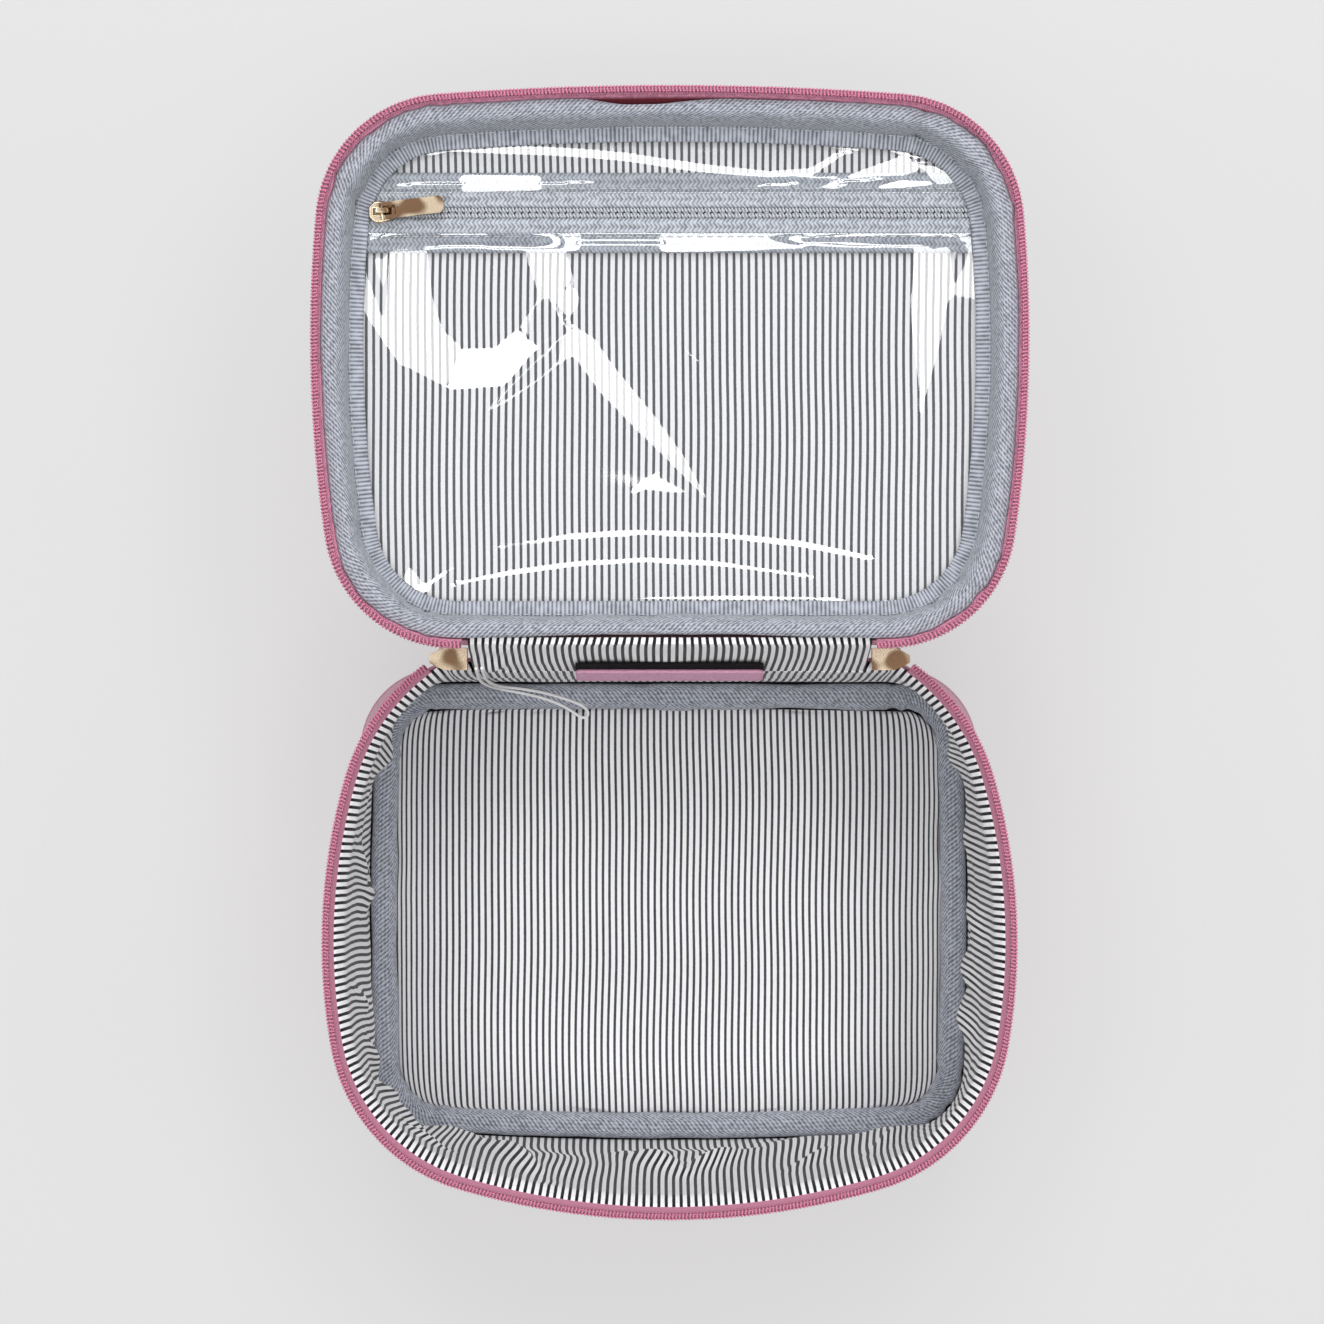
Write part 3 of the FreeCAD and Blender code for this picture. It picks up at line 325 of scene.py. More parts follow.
def clear_film(name):
    """Clear soft film: what lies behind shows through, and lamps mirror in its outer side."""
    finish = Finish(name)
    see_through = finish.node("ShaderNodeBsdfTransparent", None, {"Color": (0.97, 0.975, 0.98, 1)})
    smear = finish.noise(40, 3) * 0.05 + 0.02
    mirror = finish.node("ShaderNodeBsdfGlossy", None, {"Color": (1, 1, 1, 1), "Roughness": smear})
    inner = finish.node("ShaderNodeNewGeometry", None, None, "Backfacing")
    outer = finish.node("ShaderNodeFresnel", None, {"IOR": 1.5}) * 2 + 0.08
    share = outer.math("MINIMUM", 1) * (1 - inner)
    return finish.output(finish.node("ShaderNodeMixShader", None, {0: share, 1: see_through, 2: mirror}))


def gold_metal(name, tone):
    """Pale gold plating with painted reflection and shade: soft patches of it are a dark brown."""
    finish = Finish(name)
    # Painted reflection and shade: soft noise patches blend the pale tone into a dark brown.
    kept = finish.noise(150, 0).between(0.40, 0.60)
    painted_shade_tone = [channel * share for channel, share in zip(tone, (0.32, 0.23, 0.18))]
    return finish.principled(base_color=finish.blend(kept, painted_shade_tone, tone), metallic=1.0, roughness=0.22)


def fibrous(name, tone, fibres, range_of_shades, roughness, relief, gloss=0.5):
    """Fine fibres without a weave that shows; fibres is scale and detail, relief is depth and strength."""
    finish = Finish(name)
    fibre = finish.noise(*fibres)
    return finish.principled(base_color=finish.shades(fibre, tone, *range_of_shades), roughness=roughness,
                             normal=finish.bump(fibre, *relief), specular_ior_level=gloss)


def felt(name, tone):
    """Matt cloth or board."""
    return fibrous(name, tone, (700, 4), (0.6, 1.25), 0.92, (0.0002, 0.6), 0.2)


def braid(name, tone):
    """White cord."""
    return fibrous(name, tone, (2400, 2), (0.9, 1), 0.7, (0.0002, 0.8))


def twisted_thread(name, tone):
    """Sewing thread with a slight gloss."""
    return fibrous(name, tone, (3000, 2), (0.8, 1), 0.5, (0.0001, 0.5))


class Outline:
    """Closed line round the case, read from a CAD node's upper edge and walked from the hinge's middle to the right."""

    COUNT = 900
    LEVEL = 0.0001
    SMOOTHINGS = 6

    def __init__(self, node, inset, hinge_at_back):
        """inset is how far the node's edge lies inside the zip's line."""
        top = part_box(node)[1].z
        edge = [vert.co.xy for vert in NODES[node].data.vertices if vert.co.z > top - self.LEVEL]
        ring = [edge[index] for index in geometry.convex_hull_2d(edge)]
        points = self.spaced(ring)
        hinge = max(points, key=lambda point: (point.y if hinge_at_back else -point.y) - abs(point.x))
        start = points.index(hinge)
        points = points[start:] + points[:start]
        if points[self.COUNT // 4].x < 0:
            points = points[:1] + points[:0:-1]
        for _ in range(self.SMOOTHINGS):
            points = [(points[i - 1] + points[i] * 2 + points[(i + 1) % self.COUNT]) / 4 for i in range(self.COUNT)]
        self.inset = inset
        self.points = points
        self.widths = {}
        middle = sum(points, Vector((0, 0))) / self.COUNT
        self.inward = []
        for index, point in enumerate(points):
            run = points[(index + 1) % self.COUNT] - points[index - 1]
            normal = Vector((-run.y, run.x)).normalized()
            self.inward.append(normal if normal.dot(middle - point) > 0 else -normal)

    def spaced(self, ring):
        """The ring's points at even steps."""
        ring = ring + ring[:1]
        lengths = [(after - before).length for before, after in zip(ring, ring[1:])]
        step = sum(lengths) / self.COUNT
        points = []
        walked = 0
        for before, after, run in zip(ring, ring[1:], lengths):
            while len(points) * step < walked + run and len(points) < self.COUNT:
                points.append(before.lerp(after, (len(points) * step - walked) / run))
            walked += run
        return points

    def sample(self, items, share):
        place = share % 1 * self.COUNT
        index = int(place) % self.COUNT
        return items[index].lerp(items[(index + 1) % self.COUNT], place % 1)

    def side(self, share):
        """Direction into the case at a share of the way round."""
        return self.sample(self.inward, share).normalized().to_3d()

    def bend(self, share):
        """From 0 on straight runs to 1 at bends."""
        turned = 1 - abs(self.side(share).dot(self.side(share + 0.012)))
        return min(turned * 60, 1)

    def at(self, share, inset, height):
        flat = self.sample(self.points, share) + self.sample(self.inward, share) * (inset - self.inset)
        return Vector((flat.x, flat.y, height))

    def perimeter(self, inset):
        ring = [self.at(index / self.COUNT, inset, 0) for index in range(self.COUNT)]
        return sum((ring[index] - ring[index - 1]).length for index in range(self.COUNT))

    def share_at(self, across):
        """Share of the way from the hinge's middle to where the right half reaches across."""
        return next(i for i, point in enumerate(self.points) if point.x >= across) / self.COUNT

    def half_width(self, along, inset):
        """Half width at a place along the case's depth."""
        key = round(along, 6), inset
        if key not in self.widths:
            right = [self.at(index / self.COUNT, inset, 0) for index in range(self.COUNT // 2)]
            ends = sorted(right, key=lambda point: abs(point.y - along))[:2]
            self.widths[key] = sum(point.x for point in ends) / 2
        return self.widths[key]


BASE = Outline("floor_pad", 0.0072, True)
RIM = Outline("body_wall", 0.002, True)
LID = Outline("lid_pad", 0.0072, False)
MIDDLE = Vector((0, 0, 0.3))


def measured(wide, tall):
    """Chart of a grid of that size."""
    return lambda along, across: (along * wide, across * tall)


def laid_grid(cells_along, cells_across, place, chart, closed=False):
    """Grid whose corners are laid by place(along, across), both from 0 to 1, with its chart beside it."""
    mesh = bmesh.new()
    layer = mesh.loops.layers.uv.new("chart")
    bmesh.ops.create_grid(mesh, x_segments=cells_along, y_segments=cells_across, size=0.5)
    shares = {vert: (vert.co.x + 0.5, vert.co.y + 0.5) for vert in mesh.verts}
    for face in mesh.faces:
        for loop in face.loops:
            loop[layer].uv = chart(*shares[loop.vert])
    for vert, (along, across) in shares.items():
        vert.co = place(along, across)
    if closed:
        bmesh.ops.remove_doubles(mesh, verts=mesh.verts, dist=1e-6)
    return mesh


def new_piece(mesh, name, material):
    data = bpy.data.meshes.new(name)
    mesh.to_mesh(data)
    mesh.free()
    for polygon in data.polygons:
        polygon.use_smooth = True
    piece = bpy.data.objects.new(name, data)
    bpy.context.scene.collection.objects.link(piece)
    data.materials.append(material)
    return piece


def laid_sheet(name, material, thickness, cells, place, chart=measured(1, 1), closed=False, target=MIDDLE, away=False):
    """Sheet with its thickness behind the side that shows, which faces a point or away from it; also its area."""
    mesh = laid_grid(*cells, place, chart, closed)
    mesh.normal_update()
    seen = sum(face.normal.dot(target - face.calc_center_median()) * face.calc_area() for face in mesh.faces)
    if (seen < 0) != away:
        bmesh.ops.reverse_faces(mesh, faces=mesh.faces)
    area = sum(face.calc_area() for face in mesh.faces)
    piece = new_piece(mesh, name, material)
    shell = piece.modifiers.new("Thickness", "SOLIDIFY")
    shell.thickness = thickness
    shell.offset = -1
    shell.use_even_offset = False
    return piece, area


def settle(piece, body, slot, *replaced):
    """The piece moves with a body and stands for CAD nodes, whose parts it hides; the slot is not used."""
    if replaced:
        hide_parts(*replaced)
    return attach(piece, body)


def spread(outline, inset, ends=None):
    """Gives x and y inside an outline for shares of its width and depth, over all its depth or between two ends."""
    first, last = ends or sorted((outline.at(0, inset, 0).y, outline.at(0.5, inset, 0).y))

    def spot(along, across):
        y = first + (last - first) * across
        return (2 * along - 1) * outline.half_width(y, inset), y
    return spot


def capped(mesh, sides):
    """Closes a tube's ends and turns its faces outwards."""
    bmesh.ops.holes_fill(mesh, edges=[edge for edge in mesh.edges if edge.is_boundary], sides=sides)
    bmesh.ops.recalc_face_normals(mesh, faces=mesh.faces)
    return mesh


def swept(cells_along, cells_across, path, section, chart=measured(1, 1)):
    """Closed section carried along a path; section gives a step to the side and one up for a share of its round."""
    def place(along, across):
        point, side = path(along)
        sideways, upwards = section(along, across)
        return point + side * sideways + UP * upwards
    return capped(laid_grid(cells_along, cells_across, place, chart, True), cells_across)


def rod(cells_along, cells_across, path, radius):
    """Round rod along a path."""
    def section(along, across):
        turn = math.tau * across
        return math.cos(turn) * radius, math.sin(turn) * radius
    return swept(cells_along, cells_across, path, section)


def wound(path, turns, wide, tall, wire):
    """Filament wound in flat turns along a path."""
    steps, sides = 8, 5

    def place(along, across):
        point, side = path(along)
        ahead = (path(min(along + 1e-4, 1))[0] - path(max(along - 1e-4, 0))[0]).normalized()
        turn = math.tau * turns * along
        out = side * math.cos(turn) + UP * math.sin(turn)
        round_wire = math.tau * across
        bead = (out * math.cos(round_wire) + ahead * math.sin(round_wire)) * (wire / 2)
        return point + side * (wide - wire) / 2 * math.cos(turn) + UP * (tall - wire) / 2 * math.sin(turn) + bead
    return capped(laid_grid(turns * steps, sides, place, measured(turns, 1), True), sides)


def sew(name, thread, path, distance, body, slot, stitch=None, space=None):
    """Row of stitches along a path of that length."""
    sizes = looks()[0]
    stitch, space = stitch or sizes.stitch, space or sizes.stitch_gap
    scale = Vector((stitch / 2, sizes.thread / 2, sizes.thread / 2))
    mesh = bmesh.new()
    count = max(2, round(distance / (stitch + space)))
    for index in range(count):
        share = (index + 0.5) / count
        ahead = (path(min(share + 1e-3, 1)) - path(max(share - 1e-3, 0))).normalized()
        matrix = Matrix.LocRotScale(path(share), ahead.to_track_quat("X", "Z"), scale)
        bmesh.ops.create_uvsphere(mesh, u_segments=6, v_segments=4, radius=1, matrix=matrix)
    settle(new_piece(mesh, name, thread), body, slot)


def bell(value, middle, width):
    """Soft rise to 1 at the middle."""
    return math.exp(-((value - middle) / width) ** 2)


def round_bell(share, middle, width):
    """The same for shares of the way round."""
    return bell((share - middle + 0.5) % 1 - 0.5, 0, width)


def rumple(point, scale, seed):
    """Smooth unevenness from -1 to 1."""
    return noise.noise(point * (1 / scale) + Vector((seed, seed * 1.7, seed * 0.3)))


def hinge_turn():
    """Ends of the band, just under the lid's axis, in which the fabric hinge turns."""
    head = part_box("hinge_leather")[1]
    return UP * (head.z - 0.0066), UP * head.z


def looks():
    """Sizes and colours set in the scene."""
    scene = bpy.context.scene
    return scene.train_case_sizes, scene.train_case_colours


# Soft bulges of the wall lining: share of the way round, its width, height share, its width, depth in metres.
WALL_BULGES = [
    (0.730, 0.030, 0.35, 0.20, 0.0016), (0.690, 0.020, 0.30, 0.20, 0.0014), (0.648, 0.012, 0.40, 0.20, 0.0026),
    (0.615, 0.016, 0.25, 0.20, 0.0034), (0.560, 0.026, 0.60, 0.18, 0.0022), (0.490, 0.022, 0.45, 0.16, 0.0024),
    (0.425, 0.028, 0.30, 0.20, 0.0028), (0.385, 0.016, 0.30, 0.22, 0.0030), (0.300, 0.030, 0.45, 0.22, 0.0022),
    (0.262, 0.020, 0.60, 0.20, 0.0024), (0.215, 0.020, 0.40, 0.24, 0.0018), (0.165, 0.018, 0.45, 0.25, 0.0028),
    (0.838, 0.016, 0.40, 0.25, 0.0034),
]
# Sharp creases of the same lining: share and height share of both ends, depth and half width in metres.
WALL_CREASES = [
    (0.600, 0.25, 0.560, 0.95, 0.0030, 0.0042), (0.522, 0.35, 0.492, 0.68, 0.0028, 0.0040),
    (0.492, 0.68, 0.458, 0.35, 0.0028, 0.0040), (0.688, 0.60, 0.664, 0.22, 0.0022, 0.0036),
    (0.662, 0.50, 0.645, 0.18, 0.0022, 0.0036), (0.648, 0.30, 0.622, 0.60, 0.0020, 0.0036),
    (0.640, 0.62, 0.612, 0.75, 0.0018, 0.0032), (0.232, 0.25, 0.262, 0.85, 0.0024, 0.0042),
    (0.268, 0.25, 0.290, 0.75, 0.0022, 0.0040), (0.292, 0.15, 0.320, 0.85, 0.0024, 0.0042),
    (0.205, 0.35, 0.228, 0.80, 0.0016, 0.0036), (0.788, 0.85, 0.760, 0.35, 0.0022, 0.0040),
    (0.752, 0.55, 0.768, 0.15, 0.0020, 0.0038), (0.822, 0.70, 0.842, 0.25, 0.0020, 0.0036),
    (0.400, 0.70, 0.372, 0.30, 0.0018, 0.0036), (0.440, 0.75, 0.415, 0.45, 0.0016, 0.0036),
    (0.158, 0.75, 0.176, 0.30, 0.0018, 0.0036), (0.715, 0.80, 0.700, 0.45, 0.0016, 0.0034),
]


class CASE_OT_linings(bpy.types.Operator):
    """Striped linings of the wall, the floor, the lid and the hinge"""

    bl_idname = "train_case.linings"
    bl_label = "Linings"

    def execute(self, context):
        sizes, tones = looks()
        # One cloth in two copies: painted shade on the walls and hinge, and painted light on the floor and lid, whose
        # dark yarn is lighter and whose dark stripes are thinner.
        cloth = striped_cloth("shaded_striped_lining", tones.stripe_pale, tones.shaded_stripe_dark, 0.44)
        panel = striped_cloth("lit_striped_panel", tones.stripe_pale, tones.lit_panel_dark, 0.39)
        self.wall(sizes, cloth)
        self.floor(sizes, panel)
        self.lid(sizes, panel)
        self.hinge(sizes, cloth)
        return {"FINISHED"}

    def wall(self, sizes, cloth):
        """Wall lining, which laps the zip's tape except at the hinge."""
        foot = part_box("floor_lining")[0].z
        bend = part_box("body_foam")[1].z
        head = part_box("body_lining")[1].z - 0.0003
        inset, lap_inset, lap = 0.0066, 0.0038, 0.95
        hinge = RIM.share_at(0.0655)
        around = RIM.perimeter(inset)
        stripes = round(around / sizes.stripe_pitch)
        stripes_per_depth = 300

        def place(along, across):
            low = BASE.at(along, inset, foot)
            high = RIM.at(along, inset, bend)
            if across > lap:
                top = RIM.at(along, lap_inset, head) if hinge < along < 1 - hinge else high
                return high.lerp(top, (across - lap) / (1 - lap))
            rise = across / lap
            point = low.lerp(high, rise)
            small = rumple(point, 0.028, 3.1) + 0.6 * rumple(point, 0.011, 7.7)
            inwards = math.sin(math.pi * rise) ** 0.7 * (0.0004 + sizes.slack * (small + 0.3))
            inwards += min(1, 5 * rise, 5 - 5 * rise) * self.folds(along, rise, around, high.z - low.z)
            return point + RIM.side(along) * max(inwards, 0)

        def chart(along, across):
            pulled = stripes_per_depth * self.folds(along, min(across / lap, 1), around, bend - foot)
            return along * stripes + pulled, across * (head - foot)

        piece = laid_sheet("wall_lining", cloth, sizes.cloth, (640, 60), place, chart, closed=True)[0]
        settle(piece, "case_body", "stripe_lining", "body_lining", "body_foam")

    def folds(self, along, rise, around, tall):
        """How far bulges and creases push the wall lining inwards."""
        depth = sum(deep * round_bell(along, share, width) * bell(rise, middle, high)
                    for share, width, middle, high, deep in WALL_BULGES)
        spot = Vector((along * around, rise * tall))
        for share, low, end, high, deep, width in WALL_CREASES:
            if abs(along - (share + end) / 2) < 0.04:
                first = Vector((share * around, low * tall))
                last = Vector((end * around, high * tall))
                part = geometry.intersect_point_line(spot, first, last)[1]
                near = first.lerp(last, min(max(part, 0), 1))
                fade = math.sin(math.pi * min(max(part, 0.08), 0.92))
                depth += deep * fade * math.exp(-((spot - near).length / width) ** 2)
        return 1.3 * depth

    def floor(self, sizes, cloth):
        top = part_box("floor_lining")[1].z
        spot = spread(BASE, 0.0160)

        def place(along, across):
            x, y = spot(along, across)
            crown = math.sqrt((1 - abs(2 * along - 1) ** 12) * (1 - abs(2 * across - 1) ** 12))
            ripple = rumple(Vector((x, y, 0)), 0.05, 1.3) * 0.0005 * crown
            x += (2 * along - 1) ** 7 * 0.0010 * rumple(Vector((x, y, 0)), 0.014, 4.7)
            y += (2 * across - 1) ** 7 * 0.0008 * rumple(Vector((x, y, 0)), 0.012, 6.2)
            return Vector((x, y, top - 0.0004 + 0.0030 * crown + ripple))

        self.panel("floor_cloth", sizes, cloth, place, "case_body", "floor_lining", ["floor_pad"], 1.6)

    def lid(self, sizes, cloth):
        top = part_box("lid_lining")[1].z
        spot = spread(LID, 0.0120)

        def place(along, across):
            x, y = spot(along, across)
            return Vector((x, y, top + rumple(Vector((x, y, 0)), 0.06, 4.3) * 0.0004))

        self.panel("lid_cloth", sizes, cloth, place, "lid", "lid_lining", ["lid_pad"], 0)

    def panel(self, name, sizes, cloth, place, body, node, hidden, gather):
        """Flat striped panel whose stripes run along Y; gather is how many more crowd at its sides."""
        low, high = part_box(node)
        first_stripe = 60.2

        def chart(along, across):
            point = place(along, across)
            sway = 0.3 * rumple(Vector((point.x * 0.4, point.y, 0)), 0.04, 2.6)
            return point.x / sizes.stripe_pitch + first_stripe + sway + gather * (2 * along - 1) ** 15, point.y

        piece, area = laid_sheet(name, cloth, sizes.cloth, (120, 96), place, chart)
        settle(piece, body, "stripe_lining", node, *hidden)
        area / (high.x - low.x)

    def hinge(self, sizes, cloth):
        """Hinge lining, from the wall up to the lid and over the top of the lid's wall."""
        low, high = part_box("hinge_lining")
        foot = Vector((0, low.y + 0.0004, low.z - 0.0008))
        head = Vector((0, high.y - 0.0026, high.z - 0.0012))
        brow = Vector((0, high.y - 0.0018, high.z + 0.0001))
        end = Vector((0, high.y + 0.0003, high.z + 0.0003))
        turn = hinge_turn()[1].z - 0.002
        route = [foot, foot.lerp(head, 0.25), foot.lerp(head, 0.5), foot.lerp(head, 0.75), head, brow, end]
        tall = 0.036

        def place(along, across):
            x = low.x + (high.x - low.x) * along
            step = across * (len(route) - 1)
            index = min(int(step), len(route) - 2)
            point = route[index].lerp(route[index + 1], step - index) + Vector((x, 0, 0))
            soft = math.sin(math.pi * min(across * 1.5, 1))
            fold = 0.0014 * (rumple(point, 0.03, 5.5) + 0.3 * rumple(point, 0.009, 2.2))
            fold += 0.0026 * bell(x, low.x + 0.004 + 0.010 * across, 0.004)
            calm = 1 - 0.7 * bell(point.z, turn, 0.006)
            return point + Vector((0, -soft * calm * max(fold + 0.0004, 0), 0))

        def chart(along, across):
            lean = 0.5 * math.sin(math.pi * across) * math.sin(6 * along)
            return (low.x + (high.x - low.x) * along) / sizes.stripe_pitch + lean, across * tall

        front = Vector((0, -1, 0.2))
        piece, area = laid_sheet("hinge_cloth", cloth, sizes.cloth, (240, 72), place, chart, target=front)
        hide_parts("hinge_lining")
        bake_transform(piece)
        area / (high.x - low.x)


class CASE_OT_bindings(bpy.types.Operator):
    """Grey bindings round the floor and round the lid's pocket"""

    bl_idname = "train_case.bindings"
    bl_label = "Bindings"

    def execute(self, context):
        sizes, tones = looks()
        twill = twill_cloth("grey_twill", tones.binding, sizes.twill)
        # Painted shade: the lid's binding is the floor's grey cloth made darker.
        shaded_lid_twill = twill_cloth("grey_lid_twill", scaled(tones.binding, 0.82), sizes.twill)
        ribs = ribbed_tape("grey_ribbed_tape", scaled(tones.binding, 0.9), sizes.rib)
        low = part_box("floor_binding")[0].z + 0.0002
        self.roll("floor_binding_roll", BASE, (0.0072, 0.0168), low, lambda share: 0.0036, 2.3, twill, "case_body",
                  "floor_binding", lambda share, height: 0.0073)
        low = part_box("lid_binding")[0].z + 0.0004
        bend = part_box("lid_foam")[1].z
        self.roll("lid_binding_roll", LID, (0.0008, 0.0110), low,
                  lambda share: 0.0150 - 0.0020 * round_bell(share, 0, 0.08), 9.1, shaded_lid_twill, "lid", "lid_binding",
                  lambda share, height: self.beside_tape(share, height - bend))
        self.tape("lid_binding_tape", LID, 0.0102, 0.0157, low + 0.0040, ribs, "lid")
        thread = twisted_thread("pale_thread", tones.thread)
        inset = 0.0113
        sew("lid_binding_stitches", thread, lambda share: LID.at(share, inset, low + 0.0042), LID.perimeter(inset),
            "lid", "grey_binding")
        return {"FINISHED"}

    def beside_tape(self, share, rise):
        """Least inset of the lid's binding beside the sloped tape; it hangs back at both edges' middles."""
        sag = 0.0030 * round_bell(share, 0.514, 0.026) + 0.0008 * round_bell(share, 0.47, 0.04)
        sag += 0.0014 * round_bell(share, 0, 0.08)
        return 0.0065 - 0.53 * min(max(rise, 0), 0.0074) + sag * min(max(rise / 0.003, 0), 1)

    def roll(self, name, outline, insets, foot, rise, seed, cloth, body, node, least):
        """Soft roll between two insets, puckered at bends, with lapped ends, kept inside least(share, height)."""
        middle, half = sum(insets) / 2, (insets[1] - insets[0]) / 2
        around = outline.perimeter(middle)

        def path(along):
            return outline.at(along, middle, foot), outline.side(along)

        def section(along, across):
            turn = math.tau * across
            point = outline.at(along, middle, foot)
            pucker = rumple(point, 0.0045, seed) * outline.bend(along) * 0.0013 + rumple(point, 0.022, seed) * 0.0006
            pucker += rumple(point + Vector((0, 0, 0.008 * math.cos(turn))), 0.010, seed + 3) * 0.0003
            pucker += 0.0006 if (along * around + 0.004) % around < 0.012 else 0
            upwards = math.sin(turn)
            lifted = rise(along) * (abs(upwards) ** 0.6 if upwards > 0 else 0.05 * upwards) + max(upwards, 0) * pucker
            sideways = math.copysign(abs(math.cos(turn)) ** 0.6, math.cos(turn)) * (half + pucker)
            return max(sideways, least(along, foot + lifted) - middle), lifted

        def chart(along, across):
            return along * around, across * (math.pi * half + rise(along)) * 2

        mesh = swept(900, 28, path, section, chart)
        settle(new_piece(mesh, name, cloth), body, "grey_binding", node)

    def tape(self, name, outline, outer, inner, height, cloth, body):
        """Flat ribbed tape on the pocket's edge."""
        around = outline.perimeter((outer + inner) / 2)

        def place(along, across):
            point = outline.at(along, outer + (inner - outer) * across, height - 0.0012 * across)
            gather = 0.0002 * rumple(point, 0.008, 6.1) + 0.0010 * outline.bend(along) * rumple(point, 0.0032, 2.7)
            return point + UP * gather

        chart = measured(around, inner - outer)
        piece = laid_sheet(name, cloth, 0.0005, (900, 6), place, chart, closed=True)[0]
        settle(piece, body, "grey_binding")


class CASE_OT_main_zip(bpy.types.Operator):
    """Tapes and coils of the zip round the body and the lid"""

    bl_idname = "train_case.main_zip"
    bl_label = "Main zip"

    def execute(self, context):
        tones = looks()[1]
        coil = nylon("pink_coil", tones.coil)
        # Painted shade: the core inside the coil is dark so that the gaps between the turns look shadowed.
        core = nylon("shaded_pink_coil_core", scaled(tones.coil, 0.35))
        # Painted shade: the body's tape is darker from 2 mm below the coil down, where it slopes away.
        tape = woven_tape("pink_tape", tones.tape, 0.0008, scaled(tones.tape, 0.85), 0.0, 0.002)
        # Painted shadow: the lid's tape turns deep red where it runs under the binding.
        deep = woven_tape("shaded_pink_tape", tones.tape, 0.0008, tones.shaded_tape, 0.0042, 0.0058)
        thread = twisted_thread("coil_thread", scaled(tones.coil, 1.5))
        self.side("body", RIM, 0.0795, coil, core, tape, thread, "case_body")
        self.side("lid", LID, 0.0660, coil, core, deep, thread, "lid")
        return {"FINISHED"}

    def side(self, label, outline, gap, coil, core, tape, thread, body):
        """One half of the zip: sloped tape, its coil, the cord inside the coil and the threads that hold it."""
        sizes = looks()[0]
        first = outline.share_at(gap)
        run = 1 - 2 * first
        low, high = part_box(label + "_zip_tape")
        coil_low, coil_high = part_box(label + "_zip_coil")
        axis = (coil_low.z + coil_high.z) / 2
        inset, thick = 0.00145, 0.0029
        around = outline.perimeter(0.004) * run

        def place(along, across):
            height = high.z + 0.0006 - (high.z - low.z) * across ** 1.2 + 0.0005 * math.sin(math.pi * across)
            return outline.at(first + run * along, 0.0011 + 0.0046 * across, height)

        piece = laid_sheet(label + "_tape", tape, TAPE, (700, 10), place, measured(around, 0.0098))[0]
        settle(piece, body, "pink_tape", label + "_zip_tape")

        def path(along):
            share = first + run * along
            return outline.at(share, inset, axis), outline.side(share)

        turns = round(outline.perimeter(inset) * run / sizes.coil_pitch)
        mesh = wound(path, turns, thick, thick, sizes.coil_wire)
        settle(new_piece(mesh, label + "_coil", coil), body, "pink_coil", label + "_zip_coil")
        # The core's dark tone is painted shade between the coil's turns.
        settle(new_piece(rod(700, 8, path, 0.0010), label + "_coil_core", core), body, "pink_coil")
        for row, shift in (("outer", 0.0007), ("inner", 0.0022)):
            sew(f"{label}_coil_{row}_thread", thread,
                lambda along: outline.at(first + run * along, shift, coil_high.z - 0.0002), around, body, "pink_coil",
                sizes.coil_pitch * 0.7, sizes.coil_pitch * 0.5)


# Folds in the clear sheets: slope, and places with half widths in tenths of a millimetre; each rises to its line's
# left side.
FILM_FOLDS = {
    "pocket_lower_sheet": [
        (0.23, [(99, 1467, 7), (21, 1571, 26), (-84, 1689, 42), (-188, 1806, 49), (-276, 1923, 49),
                (-318, 1988, 16)]),
        (0.13, [(822, 1773, 10), (832, 1923, 39), (841, 2086, 62), (874, 2210, 91), (897, 2327, 117)]),
        (0.15, [(-820, 1135, 13), (-715, 1207, 13), (-553, 1278, 16), (-325, 1314, 16), (-97, 1327, 16),
                (164, 1317, 16), (424, 1291, 13), (620, 1252, 10)]),
        (0.13, [(-667, 1168, 10), (-504, 1200, 13), (-308, 1226, 13), (-80, 1239, 13), (164, 1226, 13),
                (424, 1190, 10)]),
        (0.16, [(196, 1793, 5), (66, 1907, 10), (-32, 2021, 5)]),
        (0.14, [(-770, 2272, 30), (-1010, 2272, 34)]),
        (0.14, [(-310, 2272, 32), (-570, 2274, 32)]),
        (0.14, [(420, 2274, 30), (-10, 2270, 33)]),
        (0.14, [(1010, 2272, 34), (870, 2272, 32)]),
        (0.13, [(480, 1128, 13), (-50, 1136, 18), (-420, 1124, 12)]),
    ],
    "pocket_upper_sheet": [
        (0.12, [(540, 2550, 10), (460, 2500, 12), (320, 2490, 12), (100, 2512, 13), (-130, 2545, 12),
                (-390, 2568, 12), (-620, 2580, 12), (-850, 2590, 10)]),
        (0.12, [(-430, 2464, 26), (-660, 2462, 30)]),
        (0.12, [(540, 2468, 22), (420, 2462, 22)]),
        (0.12, [(790, 2530, 30), (690, 2490, 36), (590, 2462, 30)]),
    ],
}
# Flanks of the lower sheet's flat-topped bulge, given in the same way, and its height.
BULGE_FLANKS = [
    [(-917, 2327, 117), (-904, 2210, 117), (-878, 2070, 111), (-813, 1939, 88), (-699, 1858, 68), (-559, 1865, 65),
     (-448, 1949, 65), (-357, 2086, 65)],
    [(-188, 1806, 59), (-279, 1939, 62), (-351, 2070, 65), (-396, 2210, 68), (-416, 2327, 72)],
]
BULGE_HEIGHT = 0.0029


